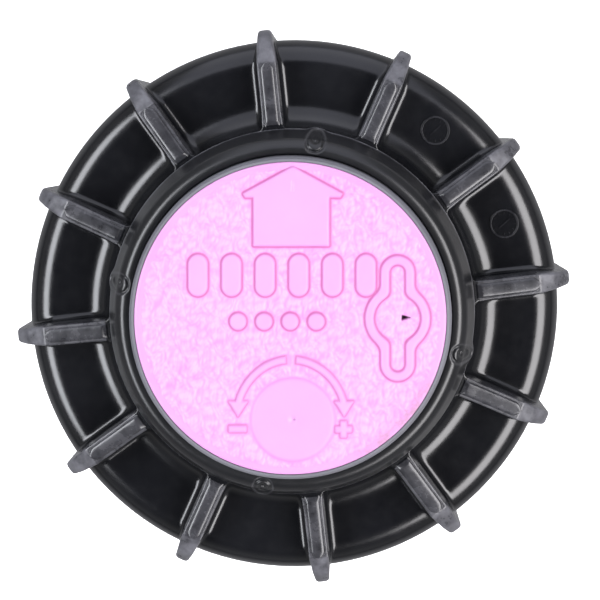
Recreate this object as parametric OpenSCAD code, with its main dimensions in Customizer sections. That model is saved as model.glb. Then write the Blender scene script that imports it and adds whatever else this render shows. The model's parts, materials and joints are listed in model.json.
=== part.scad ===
// Small gear driven pop up sprinkler with a 100 mm stroke, shown retracted.
// Origin at the centre of the inlet face, +Z up the riser axis, +Y where the nozzle points. Millimetres.

/* [Body] */
// Outer radius of the body tube
tube_r = 19; // [19:0.5:20.5]
// Radius of the half inch pipe thread, cut as a smooth bore
inlet_bore_r = 10.4; // [10:0.1:10.6]
// Depth of the inlet bore
inlet_depth = 16; // [12:1:17]
// Number of gussets around the inlet boss
gusset_count = 8; // [4:1:12]

/* [Cap] */
// Radius of the cap skirt, without its ribs
rim_r = 27.1; // [26.6:0.1:27.3]
// Radius at the tips of the grip ribs
rib_tip_r = 28.45; // [28.3:0.05:29.2]
// Number of grip ribs
rib_count = 12; // [8:2:16]
// Width of a grip rib at its root
rib_w = 1.9; // [1.6:0.1:2.4]

/* [Spring] */
// Number of turns of the retraction spring
spring_turns = 14; // [10:1:15]
// Diameter of the retraction spring's wire
spring_wire = 1.3; // [1:0.1:1.4]

/* [Cover] */
// Height of the raised marks on the rubber cover
mark_h = 0.35; // [0.2:0.05:0.6]

/* [Hidden] */
$fn = 96;
eps = 0.01;

black = [0.1, 0.1, 0.11];
dark = [0.16, 0.16, 0.17];
steel = [0.72, 0.73, 0.75];
acetal = [0.9, 0.89, 0.84];
lilac = [0.97, 0.74, 0.95];

// Heights above the inlet face
face_z = 178;
collar_top_z = face_z - 1.7;
collar_edge_z = face_z - 5.4;
panel_z = face_z - 9.5;
recess_z = face_z - 7.8;
cap_under_z = face_z - 12.2;
neck_top_z = cap_under_z - 0.7;
skirt_z = 149.6;
shelf_z = 151;
cavity_z = 22.9;
seal_z = cap_under_z - 7.5;
retainer_z = seal_z - 2.7;
ring_z = 30;
ring_top_z = 34;
riser_z = 27;
riser_top_z = 151.5;
turret_z = 152;
turret_top_z = 175.4;
turbine_z = 74.2;
case_z = 79.6;
wheel_z = 82;
lid_z = 98.6;
carriage_z = 100.7;
idler_z = 102.6;
cup_z = 102.8;
cup_top_z = 107.6;
finger_z = 148;
tab_z = finger_z + 1.4;

// Radii
tube_in_r = tube_r - 2;
spline_in_r = tube_in_r - 0.6;
boss_r = 15.4;
neck_r = 24.4;
cap_bore_r = neck_r + 0.1;
seal_pocket_r = 21.8;
collar_in_r = 16.22;
collar_r = 18.58;
riser_r = 13.5;
riser_in_r = 12.3;
case_r = 10.8;
case_in_r = 9.9;
stem_r = 6.2;
stem_in_r = 4.8;
bezel_r = 16.12;
cover_r = 15.56;
spline_count = 4;

// Grip ribs
cap_draft = 1.4;
rib_phase = 6.07;
bar_w = 1.1;
bar_start_r = 19.2;
bar_end_r = 25.3;

// Gears
gear_module = 0.35;
gear_count = 7;
wheel_teeth = 22;
pinion_teeth = 9;
idler_teeth = 10;
ring_teeth = 50;
arc_teeth = 48;
pressure_angle = 25;
addendum = 0.8;
dedendum = 1.1;
flank_relief = 0.05;
wheel_w = 1.8;
stage_pitch = 2.3;
shaft_r = 0.75;
gear_bore_r = shaft_r + 0.07;
shaft_gap = gear_module * (pinion_teeth + wheel_teeth) / 2;
adjuster_gap = gear_module * (idler_teeth + arc_teeth) / 2;

// Reversing carriage: it pivots on the layshaft axis and swings an idler towards the drive stem's ring gear
swing = 14;
idler_gap = 4.1;
outer_gap = 6.9;
reach_r = 6.22;
idler_pair_gap = gear_module * idler_teeth;
forward_dir = acos((reach_r * reach_r - shaft_gap * shaft_gap - idler_gap * idler_gap)
    / (2 * shaft_gap * idler_gap));
outer_dir = -swing - acos((reach_r * reach_r - shaft_gap * shaft_gap - outer_gap * outer_gap)
    / (2 * shaft_gap * outer_gap));
inner_dir = outer_dir + acos((idler_gap * idler_gap + outer_gap * outer_gap - idler_pair_gap * idler_pair_gap)
    / (2 * idler_gap * outer_gap));
forward_at = [shaft_gap + idler_gap * cos(forward_dir), idler_gap * sin(forward_dir)];
inner_at = [shaft_gap + idler_gap * cos(inner_dir), idler_gap * sin(inner_dir)];
outer_at = [shaft_gap + outer_gap * cos(outer_dir), outer_gap * sin(outer_dir)];
lever_x = 10.9;
fork_reach = 3.875;
fork_at = [shaft_gap + fork_reach * cos(swing / 2), -fork_reach * sin(swing / 2)];
lever_dir = 180 + atan(-fork_at[1] / (lever_x - fork_at[0]));
lever_arm = sqrt(pow(lever_x - fork_at[0], 2) + pow(fork_at[1], 2));
inner_phase = 0;
pair_dir = atan2(outer_at[1] - inner_at[1], outer_at[0] - inner_at[0]);

// Turret features
nozzle_tilt = 25;
nozzle_z = 159.5;
nozzle_r = 4.4;
screw_y = 11.5;
screw_r = 1.35;
key_x = 10.7;

// Roll angle of an involute at radius r on a base circle
function involute(base_r, r) = r <= base_r ? 0 : tan(acos(base_r / r)) * 180 / PI - acos(base_r / r);

// Half the angle of a tooth at radius r
function half_tooth(teeth, r) =
    let(pitch_r = gear_module * teeth / 2, base_r = pitch_r * cos(pressure_angle))
    90 / teeth - flank_relief / pitch_r * 180 / PI
    + involute(base_r, pitch_r) - involute(base_r, max(r, base_r));

function polar(r, a) = [r * cos(a), r * sin(a)];

// Outline of a spur gear with a tooth centred at the phase angle
function gear_points(teeth, phase) =
    let(
        pitch_r = gear_module * teeth / 2,
        root_r = pitch_r - dedendum * gear_module,
        tip_r = pitch_r + addendum * gear_module,
        step = 360 / teeth)
    [for (i = [0:teeth - 1])
        for (p = [[root_r, -1], [pitch_r, -1], [tip_r, -1], [tip_r, 1], [pitch_r, 1], [root_r, 1]])
            polar(p[0], phase + i * step + p[1] * half_tooth(teeth, p[0]))];

// Phase that meshes a follower with a driver whose tooth phase is known
function mesh_phase(dir, driver_teeth, driver_phase, teeth) =
    let(turns = (dir - driver_phase) * driver_teeth / 360, part = turns - floor(turns))
    dir + 180 - (0.5 - part) * 360 / teeth;

module gear_2d(teeth, phase) {
    polygon(gear_points(teeth, phase));
}

// Points of a closed-end coil spring: one dead turn at each end, open turns between
function coil_z(t, turns, length, wire) =
    let(open = (length - 3 * wire) / (turns - 2))
    t < 1 ? wire / 2 + t * wire
    : t > turns - 1 ? length - wire / 2 - (turns - t) * wire
    : wire * 1.5 + (t - 1) * open;

function coil_points(turns, length, mean_r, wire, steps, sides) =
    [for (i = [0:turns * steps])
        for (j = [0:sides - 1])
            let(t = i / steps, a = t * 360, b = j * 360 / sides, r = mean_r + wire / 2 * cos(b))
            [r * cos(a), r * sin(a), coil_z(t, turns, length, wire) + wire / 2 * sin(b)]];

module coil(turns, length, mean_r, wire, steps, sides) {
    last = turns * steps * sides;
    sweep = [for (i = [0:turns * steps - 1])
        for (j = [0:sides - 1])
            let(k = (j + 1) % sides)
            [(i + 1) * sides + j, (i + 1) * sides + k, i * sides + k, i * sides + j]];
    first_cap = [for (j = [0:sides - 1]) j];
    last_cap = [for (j = [sides - 1:-1:0]) last + j];
    polyhedron(points = coil_points(turns, length, mean_r, wire, steps, sides),
        faces = concat(sweep, [first_cap, last_cap]));
}

// A bar standing on the XY plane between two points, with round ends
module link_2d(a, b, w) {
    dx = b[0] - a[0];
    dy = b[1] - a[1];
    translate(a) circle(d = w);
    translate(b) circle(d = w);
    translate(a) rotate(atan2(dy, dx)) translate([0, -w / 2]) square([sqrt(dx * dx + dy * dy), w]);
}

module body_case() {
    color(black) difference() {
        union() {
            rotate_extrude() polygon([
                [0, 0], [boss_r - 0.6, 0], [boss_r, 0.6], [boss_r, 15], [tube_r - 1, 23], [tube_r, 26],
                [tube_r, 138], [neck_r + 1.2, 147], [neck_r + 1.2, 149.4], [neck_r, 149.6],
                [neck_r, neck_top_z - 0.6], [neck_r - 0.6, neck_top_z], [0, neck_top_z]]);
            // Gussets between the inlet boss and the tube
            for (i = [0:gusset_count - 1])
                rotate(i * 360 / gusset_count) translate([0, 0.8, 0]) rotate([90, 0, 0])
                    linear_extrude(1.6) polygon([[boss_r - 2, 2], [boss_r + 1.6, 2],
                        [tube_r + 0.4, 18], [tube_r + 0.4, 30], [tube_r - 2, 34], [boss_r - 2, 24]]);
            // Long ribs that stop the body turning in the soil
            for (i = [0:3])
                rotate(i * 90 + 45) translate([tube_r - 1, -0.7, 34]) cube([2, 1.4, 100]);
        }
        translate([0, 0, -eps]) cylinder(r = inlet_bore_r, h = inlet_depth + eps);
        cylinder(r = 8, h = 40);
        translate([0, 0, cavity_z]) cylinder(r = tube_in_r, h = 200);
        translate([0, 0, shelf_z]) cylinder(r = seal_pocket_r, h = 200);
    }
    // Splines that keep the riser from turning
    color(black) for (i = [0:spline_count - 1])
        rotate(i * 360 / spline_count) translate([spline_in_r, -0.8, cavity_z]) cube([1.4, 1.6, 120]);
}

// Plan of a grip rib: straight to the rim, then narrower to a round tip
module rib_plan_2d() {
    tip_w = rib_w - 0.5;
    polygon([
        [collar_in_r + 1, -rib_w / 2], [rim_r - 2, -rib_w / 2], [rib_tip_r - tip_w / 2, -tip_w / 2],
        [rib_tip_r - tip_w / 2, tip_w / 2], [rim_r - 2, rib_w / 2], [collar_in_r + 1, rib_w / 2]]);
    translate([rib_tip_r - tip_w / 2, 0]) circle(d = tip_w - 0.02);
}

module rib() {
    intersection() {
        translate([0, 0, skirt_z]) linear_extrude(collar_edge_z - skirt_z) rib_plan_2d();
        translate([0, rib_w, 0]) rotate([90, 0, 0]) linear_extrude(2 * rib_w) polygon([
            [collar_in_r + 1, collar_edge_z], [collar_r, collar_edge_z], [25.4, collar_edge_z - 0.8],
            [27.3, collar_edge_z - 2.2], [rib_tip_r - 0.25, collar_edge_z - 3.2],
            [rib_tip_r, collar_edge_z - 4.2], [rib_tip_r - cap_draft, skirt_z + 1],
            [rib_tip_r - cap_draft - 0.6, skirt_z], [cap_bore_r + 0.3, skirt_z],
            [cap_bore_r + 0.3, cap_under_z + 1], [collar_in_r + 1, cap_under_z + 1]]);
    }
    // Raised bar along the rib's crest
    translate([bar_start_r, -bar_w / 2, collar_edge_z - 1]) cube([bar_end_r - bar_start_r, bar_w, 1.25]);
    translate([bar_end_r, 0, collar_edge_z - 1]) cylinder(r = bar_w / 2 - 0.01, h = 1.25);
}

module body_cap() {
    color(dark) union() {
        rotate_extrude() polygon([
            [collar_in_r, recess_z], [collar_in_r, collar_top_z - 0.2], [collar_in_r + 0.2, collar_top_z],
            [17, collar_top_z], [17.7, collar_top_z - 0.7], [collar_r, collar_edge_z],
            [collar_r, panel_z + 1.3], [collar_r + 0.4, panel_z + 0.4], [collar_r + 1.3, panel_z],
            [25.1, panel_z], [26.5, panel_z - 0.6], [rim_r, panel_z - 2],
            [rim_r - cap_draft, skirt_z + 0.4], [rim_r - cap_draft - 0.3, skirt_z],
            [cap_bore_r, skirt_z], [cap_bore_r, cap_under_z],
            [14.3, cap_under_z], [14.3, recess_z - 0.3], [14.6, recess_z]]);
        for (i = [0:rib_count - 1])
            rotate(rib_phase + i * 360 / rib_count) rib();
    }
}

module cap_gasket() {
    color([0.2, 0.2, 0.2]) translate([0, 0, neck_top_z + 0.05]) difference() {
        cylinder(r = 24, h = 0.6);
        translate([0, 0, -1]) cylinder(r = 22.2, h = 3);
    }
}

module wiper_seal() {
    color([0.14, 0.14, 0.14]) rotate_extrude() polygon([
        [21.6, seal_z], [21.6, seal_z + 3.3], [18.4, seal_z + 3.3], [17.4, seal_z + 4.5],
        [15, seal_z + 6.8], [13.62, seal_z + 7.3], [13.58, seal_z + 6.5], [14.6, seal_z + 5.3],
        [15.4, seal_z + 3.5], [14.8, seal_z + 1.9], [13.58, seal_z + 0.7], [13.62, seal_z],
        [15, seal_z + 0.3], [16, seal_z]]);
}

module seal_retainer() {
    color(acetal) rotate_extrude() polygon([
        [14.2, retainer_z], [17.3, retainer_z], [18.2, retainer_z - 2], [18.2, shelf_z + 0.1],
        [21.6, shelf_z + 0.1], [21.6, seal_z - 0.2], [14.2, seal_z - 0.2]]);
}

module retraction_spring() {
    color(steel) translate([0, 0, ring_top_z + 0.1])
        coil(spring_turns, retainer_z - ring_top_z - 0.2, 15.3, spring_wire, 20, 8);
}

module riser_tube() {
    color(black) difference() {
        union() {
            rotate_extrude() polygon([
                [riser_in_r, riser_z], [15.2, riser_z], [15.6, riser_z + 0.4], [15.6, ring_z - 0.2],
                [riser_r, ring_z - 0.2], [riser_r, riser_top_z - 0.3], [riser_r - 0.3, riser_top_z],
                [riser_in_r, riser_top_z]]);
            translate([0, 0, 143]) cylinder(r = riser_in_r + 0.5, h = 4.5);
        }
        translate([0, 0, 140]) cylinder(r = 8.1, h = 10);
        translate([lever_x, 0, 140]) cylinder(r = 0.8, h = 10);
    }
}

module ratchet_ring() {
    color(acetal) difference() {
        translate([0, 0, ring_z]) cylinder(r = tube_in_r - 0.25, h = ring_top_z - ring_z);
        translate([0, 0, ring_z - 1]) cylinder(r = riser_r + 0.1, h = 10);
        for (i = [0:spline_count - 1])
            rotate(i * 360 / spline_count)
                translate([spline_in_r - 0.25, -1.1, ring_z - 1]) cube([3, 2.2, 10]);
        // Relief that lets the ring click round on the riser
        for (i = [0:11])
            rotate(15 + i * 30) translate([riser_r, -0.6, ring_z - 1]) cube([0.9, 1.2, 2]);
    }
}

module filter_screen() {
    color(acetal) difference() {
        union() {
            translate([0, 0, 25.2]) cylinder(r = riser_in_r - 0.1, h = 2.4);
            cylinder_tube(9.6, 8.6, 25.2, 62);
            translate([0, 0, 60.8]) cylinder(r = 9.6, h = 1.2);
            for (z = [35, 44, 53])
                cylinder_tube(10.1, 8.6, z, z + 1.2);
        }
        translate([0, 0, 20]) cylinder(r = 8.6, h = 39.6);
        for (z = [28.4, 37, 46, 55])
            for (i = [0:11])
                rotate(i * 30) translate([7, -0.9, z]) cube([4, 1.8, z > 50 ? 4.8 : 6.2]);
    }
}

module cylinder_tube(r_out, r_in, z0, z1) {
    translate([0, 0, z0]) difference() {
        cylinder(r = r_out, h = z1 - z0);
        translate([0, 0, -1]) cylinder(r = r_in, h = z1 - z0 + 2);
    }
}

module drain_check_seal() {
    color([0.14, 0.14, 0.14]) rotate_extrude() polygon([
        [8.8, 23.6], [9.4, cavity_z + 0.1], [10, 23.6], [12, 23.6], [12, 25.1], [8.8, 25.1]]);
}

module stator() {
    color(acetal) difference() {
        union() {
            translate([0, 0, 64]) cylinder(r = riser_in_r - 0.1, h = 1.6);
            translate([0, 0, 61.9]) difference() {
                cylinder(r = riser_in_r - 0.1, h = 3);
                translate([0, 0, -1]) cylinder(r = 10.9, h = 6);
            }
            translate([0, 0, 62.8]) cylinder(r = 2.2, h = 2);
        }
        // Slanted jets that turn the water onto the turbine
        for (i = [0:7])
            rotate(i * 45) translate([9.2, 0, 64.8]) rotate([40, 0, 0]) cube([3, 1.1, 6], center = true);
        // By-pass ports around the hub
        for (i = [0:3])
            rotate(i * 90 + 45) translate([3.5, 0, 60]) cylinder(r = 1.1, h = 10);
        translate([0, 0, 60]) cylinder(r = 1.3, h = 10);
    }
}

module stator_cage() {
    color(acetal) union() {
        cylinder_tube(riser_in_r - 0.1, 11.2, 65.7, 72.2);
        translate([0, 0, 71]) linear_extrude(1.2) difference() {
            union() {
                circle(r = 3.6);
                for (i = [0:2])
                    rotate(i * 120 + 30) translate([0, -0.8]) square([11.6, 1.6]);
            }
            circle(r = 1.4);
        }
    }
}

module bypass_poppet() {
    color(acetal) union() {
        translate([0, 0, 65.7]) cylinder(r = 5.2, h = 1);
        translate([0, 0, 62.5]) cylinder(r = 1.2, h = 3.4);
        translate([0, 0, 66]) cylinder(r = 2.2, h = 1.4);
    }
}

module bypass_spring() {
    color(steel) translate([0, 0, 66.8]) coil(4, 4.1, 2.9, 0.4, 20, 8);
}

module turbine() {
    color(acetal) union() {
        cylinder_tube(3.2, shaft_r - 0.1, turbine_z, turbine_z + 3.4);
        cylinder_tube(11, 10.2, turbine_z, turbine_z + 3);
        difference() {
            for (i = [0:11])
                rotate(i * 30) translate([3, 0, turbine_z + 1.5]) rotate([38, 0, 0])
                    translate([0, -0.35, -1.7]) cube([7.6, 0.7, 3.4]);
            translate([0, 0, turbine_z - 3]) cylinder(r = 20, h = 3);
            translate([0, 0, turbine_z + 3]) cylinder(r = 20, h = 3);
        }
    }
}

module turbine_shaft() {
    color(steel) union() {
        translate([0, 0, turbine_z - 0.8]) cylinder(r = shaft_r - 0.1, h = 4.4);
        translate([0, 0, turbine_z + 3.5]) cylinder(r = shaft_r, h = lid_z + 1 - turbine_z - 3.5);
        translate([0, 0, wheel_z - 0.2]) linear_extrude(wheel_w + 0.4) gear_2d(pinion_teeth, 0);
    }
}

module gear_case_base() {
    color(dark) difference() {
        union() {
            translate([0, 0, case_z]) cylinder(r = case_r, h = lid_z - case_z - 0.05);
            // Fins that centre the case in the riser
            for (i = [0:3])
                rotate(i * 90 + 45) translate([case_r - 1, -0.6, case_z]) cube([2.4, 1.2, 16]);
        }
        translate([0, 0, case_z + 1.6]) cylinder(r = case_in_r, h = 30);
        translate([0, 0, case_z - 1]) cylinder(r = shaft_r + 0.07, h = 10);
        translate([shaft_gap, 0, case_z + 0.6]) cylinder(r = shaft_r - 0.08, h = 10);
    }
}

module gear_case_lid() {
    color(dark) difference() {
        union() {
            translate([0, 0, lid_z]) cylinder(r = case_r, h = 1.8);
            translate([shaft_gap, 0, lid_z]) cylinder(r = 2.9, h = 3.6);
            translate([0, 0, lid_z]) linear_extrude(1.8) link_2d([9, 0], [lever_x - 0.2, 0], 2.4);
            // Post that anchors the toggle spring
            translate([-9.3, 0, lid_z]) cylinder(r = 0.8, h = 3.6);
        }
        translate([shaft_gap, 0, lid_z - 1]) cylinder(r = 2.1, h = 10);
        translate([0, 0, lid_z - 1]) cylinder(r = shaft_r + 0.07, h = 2.1);
        translate([lever_x, 0, lid_z + 0.6]) cylinder(r = 0.78, h = 10);
    }
}

module layshaft() {
    color(steel) translate([shaft_gap, 0, case_z + 0.7]) cylinder(r = shaft_r - 0.1, h = 25.5);
}

// A wheel with a pinion above it; odd ones run on the layshaft, even ones on the turbine shaft
module compound_gear(k) {
    on_layshaft = k % 2 == 1;
    z = wheel_z + (k - 1) * stage_pitch;
    pinion_top = k == gear_count ? idler_z + 2.4 : z + stage_pitch + wheel_w;
    half = 180 / wheel_teeth;
    color(acetal) translate([on_layshaft ? shaft_gap : 0, 0, 0]) difference() {
        union() {
            translate([0, 0, z]) linear_extrude(wheel_w)
                gear_2d(wheel_teeth, on_layshaft ? 180 + half : half);
            translate([0, 0, z + wheel_w - eps]) linear_extrude(pinion_top - z - wheel_w + eps)
                gear_2d(pinion_teeth, on_layshaft ? 180 : 0);
        }
        translate([0, 0, z - 1]) cylinder(r = on_layshaft ? gear_bore_r - 0.1 : gear_bore_r, h = 30);
    }
}

module reversing_carriage() {
    color([0.75, 0.76, 0.74]) difference() {
        union() {
            translate([0, 0, carriage_z]) linear_extrude(1.2) difference() {
                union() {
                    translate([shaft_gap, 0]) circle(r = 3.9);
                    link_2d([shaft_gap, 0], forward_at, 2.6);
                    link_2d([shaft_gap, 0], inner_at, 2.6);
                    link_2d(inner_at, outer_at, 2.6);
                    link_2d([shaft_gap - 3, 0], [-4, 0], 1.8);
                    translate([shaft_gap, 0]) rotate(-swing / 2) translate([3, -1.45]) square([1.15, 2.9]);
                }
                translate([shaft_gap, 0]) rotate(-swing / 2) translate([3.1, -0.65]) square([3, 1.3]);
                translate([shaft_gap, 0]) circle(r = 2.98);
                translate([-4.6, 0]) circle(r = 0.9);
            }
            for (p = [forward_at, inner_at, outer_at])
                translate([p[0], p[1], carriage_z]) cylinder(r = 0.6, h = 4.4);
        }
        translate([shaft_gap, 0, carriage_z - 1]) cylinder(r = 2.98, h = 3);
    }
}

module idler(at, phase) {
    color(acetal) translate([at[0], at[1], idler_z]) linear_extrude(2.2) difference() {
        gear_2d(idler_teeth, phase);
        circle(r = 0.67);
    }
}

module forward_idler() {
    idler(forward_at, 0);
}

module reverse_idler_inner() {
    idler(inner_at, inner_phase);
}

module reverse_idler_outer() {
    idler(outer_at, mesh_phase(pair_dir, idler_teeth, inner_phase, idler_teeth));
}

module toggle_spring() {
    color(steel) translate([-6.5, 0, carriage_z + 0.6]) rotate(20)
        rotate_extrude(angle = 320) translate([1.5, 0]) circle(r = 0.22);
}

module trip_lever() {
    color([0.75, 0.76, 0.74]) union() {
        translate([lever_x, 0, lid_z + 0.8]) cylinder(r = 0.7, h = finger_z + 1.2 - lid_z - 0.8);
        translate([lever_x, 0, carriage_z]) cylinder(r = 1.05, h = 1.2);
        translate([lever_x, 0, carriage_z]) rotate(lever_dir) translate([0, -0.38, 0])
            cube([lever_arm, 0.76, 1.2]);
        translate([fork_at[0], fork_at[1], carriage_z]) cylinder(r = 0.45, h = 1.2);
        translate([lever_x, 0, finger_z]) cylinder(r = 1.05, h = 1.2);
        translate([lever_x, 0, finger_z]) rotate(lever_dir) translate([0, -0.5, 0]) cube([2.3, 1, 1.2]);
    }
}

module drive_stem() {
    color(dark) difference() {
        union() {
            translate([0, 0, cup_z]) cylinder(r = 9.8, h = cup_top_z - cup_z);
            translate([0, 0, cup_top_z - 1]) cylinder(r = stem_r, h = 157.4 - cup_top_z + 1);
            translate([0, 0, 136]) cylinder(r = 7.6, h = 2.4);
            translate([0, 0, cup_top_z - 0.1]) cylinder(r1 = 9, r2 = stem_r, h = 3);
        }
        translate([0, 0, cup_z - 1]) linear_extrude(1 + 2.8) gear_2d(ring_teeth, 0);
        translate([0, 0, cup_z]) cylinder(r = 8.3, h = 3.2);
        translate([0, 0, cup_top_z + 1.6]) cylinder(r = stem_in_r, h = 60);
        // Windows that let the water into the stem
        for (i = [0:3])
            rotate(i * 90 + 45) translate([0, -1.6, 113]) cube([10, 3.2, 14]);
    }
}

module thrust_washer() {
    color([0.93, 0.92, 0.88]) cylinder_tube(7.8, stem_r + 0.1, 138.6, 139.5);
}

module stem_bushing() {
    color(acetal) union() {
        cylinder_tube(8.05, stem_r + 0.06, 139.7, 146.2);
        cylinder_tube(9.6, stem_r + 0.06, 139.7, 141.4);
    }
}

module stem_o_ring() {
    color([0.14, 0.14, 0.14]) translate([0, 0, 147.1]) rotate_extrude() translate([7.15, 0]) circle(r = 0.75);
}

module nozzle_axis() {
    translate([0, 0, nozzle_z]) rotate([nozzle_tilt - 90, 0, 0]) children();
}

module nozzle_turret() {
    color(black) difference() {
        translate([0, 0, turret_z]) cylinder(r = riser_r, h = turret_top_z - turret_z);
        translate([0, 0, turret_z - 1]) cylinder(r = riser_in_r - 0.1, h = 5.4);
        translate([0, 0, turret_z]) cylinder(r = stem_r + 0.06, h = 5.5);
        translate([0, 0, turret_z]) cylinder(r = stem_in_r, h = 8.6);
        nozzle_axis() cylinder(r = 3.4, h = 8);
        nozzle_axis() translate([0, 0, 6.4]) cylinder(r = nozzle_r + 0.1, h = 12);
        // Screw and arc adjuster run in these holes
        translate([0, screw_y, 164]) cylinder(r = screw_r + 0.08, h = 12);
        translate([0, -adjuster_gap, 150]) cylinder(r = 1.48, h = 30);
        translate([0, -adjuster_gap, turret_top_z - 4.6]) cylinder(r = 2.6, h = 12);
        // Slot for the pull-up key
        translate([key_x - 0.9, -5, turret_top_z - 7]) cube([1.8, 10, 10]);
        // Sockets for the cover's pegs
        for (y = [-1, 1])
            translate([-8, 7 * y, turret_top_z - 3.4]) cylinder(r = 1.3, h = 10);
    }
    // Fixed stop that meets the trip lever
    color(black) rotate(165) translate([10.5, -1, tab_z]) cube([1.4, 2, 8]);
}

module turret_bezel() {
    color([0.57, 0.57, 0.6]) rotate_extrude() polygon([
        [riser_r + 0.05, face_z - 7.3], [bezel_r - 1, face_z - 7.3], [bezel_r, face_z - 6.3],
        [bezel_r, face_z - 1.5], [15.76, face_z - 0.05], [15.6, face_z - 0.05], [15.6, turret_top_z],
        [riser_r + 0.05, turret_top_z]]);
}

module nozzle() {
    color([0.35, 0.36, 0.4]) difference() {
        intersection() {
            nozzle_axis() translate([0, 0, 6.5]) difference() {
                cylinder(r = nozzle_r, h = 12);
                translate([0, 0, -eps]) cylinder(r1 = 3.2, r2 = 1.9, h = 5);
                cylinder(r = 1.9, h = 13);
                translate([0, 0, 6.3]) cylinder(r = 3.1, h = 8);
            }
            cylinder(r = riser_r - 0.1, h = 200);
        }
        translate([0, screw_y, 165.4]) cylinder(r = 1.5, h = 12);
    }
}

module arc_ring() {
    color(acetal) difference() {
        union() {
            translate([0, 0, turret_z + 1.3]) linear_extrude(2.2)
                gear_2d(arc_teeth, mesh_phase(90, idler_teeth, 0, arc_teeth));
            translate([0, 0, turret_z + 0.4]) cylinder(r = 8.1, h = 1);
            rotate(195) translate([7, -1, turret_z + 0.4]) cube([2.9, 2, 0.7]);
            rotate(195) translate([8.7, -1, tab_z]) cube([1.2, 2, turret_z + 1.1 - tab_z]);
        }
        translate([0, 0, turret_z - 1]) cylinder(r = stem_r + 0.08, h = 10);
    }
}

module arc_adjuster() {
    color([0.85, 0.85, 0.83]) translate([0, -adjuster_gap, 0]) difference() {
        union() {
            translate([0, 0, turret_z + 1.2]) linear_extrude(2.6) gear_2d(idler_teeth, 0);
            translate([0, 0, turret_z + 3]) cylinder(r = 1.4, h = turret_top_z - turret_z - 4);
            translate([0, 0, turret_top_z - 4.5]) cylinder(r = 2.5, h = 4.3);
        }
        // Hex socket for the setting key
        translate([0, 0, turret_top_z - 3.4]) cylinder(r = 1.5, h = 6, $fn = 6);
    }
}

module radius_screw() {
    color(steel) translate([0, screw_y, 0]) difference() {
        translate([0, 0, 167.6]) cylinder(r = screw_r, h = 7.3);
        translate([-2, -0.3, 174.1]) cube([4, 0.6, 2]);
    }
}

module arrowhead_2d(w, h) {
    polygon([[-w / 2, 0], [w / 2, 0], [0, -h]]);
}

module keyhole_2d(grow) {
    circle(r = 2.35 + grow);
    translate([-0.8 - grow, -5.35 - grow]) square([1.6 + 2 * grow, 10.7 + 2 * grow]);
}

module marks_2d() {
    // Arrow towards the nozzle
    polygon([[0.25, 15], [-4.6, 12.3], [-3.6, 12.2], [-3.6, 7.3], [3.8, 7.3], [3.8, 12.2], [5.1, 12.3]]);
    // Keyhole outline around the pull-up slot
    translate([key_x, 0]) difference() {
        keyhole_2d(0.9);
        keyhole_2d(0);
    }
    // Plain rows of pads
    for (i = [0:5])
        link_2d([-9.2 + i * 3.35, 3.2], [-9.2 + i * 3.35, 5.4], 2);
    for (i = [0:3])
        translate([-5.2 + i * 2.6, -0.3]) circle(r = 0.85);
    // Setting disc, with minus and plus beside it
    translate([0, -10.1]) difference() {
        circle(r = 4.1);
        circle(r = 0.4);
    }
    translate([-6.15, -11.45]) square([1.7, 0.7]);
    translate([4.45, -11.45]) square([2, 0.7]);
    translate([5.1, -12.1]) square([0.7, 2]);
    for (side = [-1, 1])
        translate([side * 5.6, -9.2]) arrowhead_2d(2.2, 1.9);
}

module rubber_cover() {
    color(lilac) difference() {
        union() {
            rotate_extrude() polygon([
                [0, turret_top_z + 0.1], [cover_r - 0.1, turret_top_z + 0.1], [cover_r - 0.02, face_z - 0.3],
                [cover_r - 0.3, face_z], [0, face_z]]);
            translate([0, 0, face_z - 0.2]) linear_extrude(0.2 + mark_h) marks_2d();
            translate([0, -10.1, face_z - 0.2]) linear_extrude(0.2 + mark_h) arc_marks_2d();
            for (y = [-1, 1])
                translate([-8, 7 * y, turret_top_z - 2.9]) cylinder(r = 1.2, h = 4);
        }
        // Slits for the key, the setting tool and the screwdriver
        translate([key_x - 0.15, -3.4, turret_top_z - 1]) cube([0.3, 6.8, 10]);
        translate([-0.15, screw_y - 1.3, turret_top_z - 1]) cube([0.3, 2.6, 10]);
        translate([0, -10.1, turret_top_z - 1]) cylinder(r = 0.3, h = 10);
    }
}

module arc_marks_2d() {
    difference() {
        circle(r = 6.35);
        circle(r = 5.65);
        translate([-0.9, 0]) square([1.8, 10]);
        translate([-10, -19.1]) square([20, 20]);
    }
}

body_case();
body_cap();
cap_gasket();
wiper_seal();
seal_retainer();
retraction_spring();
riser_tube();
ratchet_ring();
filter_screen();
drain_check_seal();
stator();
stator_cage();
bypass_poppet();
bypass_spring();
turbine();
turbine_shaft();
gear_case_base();
gear_case_lid();
layshaft();
compound_gear(1);  // gear_1
compound_gear(2);  // gear_2
compound_gear(3);  // gear_3
compound_gear(4);  // gear_4
compound_gear(5);  // gear_5
compound_gear(6);  // gear_6
compound_gear(7);  // gear_7
reversing_carriage();
forward_idler();
reverse_idler_inner();
reverse_idler_outer();
toggle_spring();
trip_lever();
drive_stem();
thrust_washer();
stem_bushing();
stem_o_ring();
nozzle_turret();
turret_bezel();
nozzle();
arc_ring();
arc_adjuster();
radius_screw();
rubber_cover();
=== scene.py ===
import json
import math

import bmesh
import bpy
import numpy as np
from mathutils import Matrix, Vector

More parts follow.
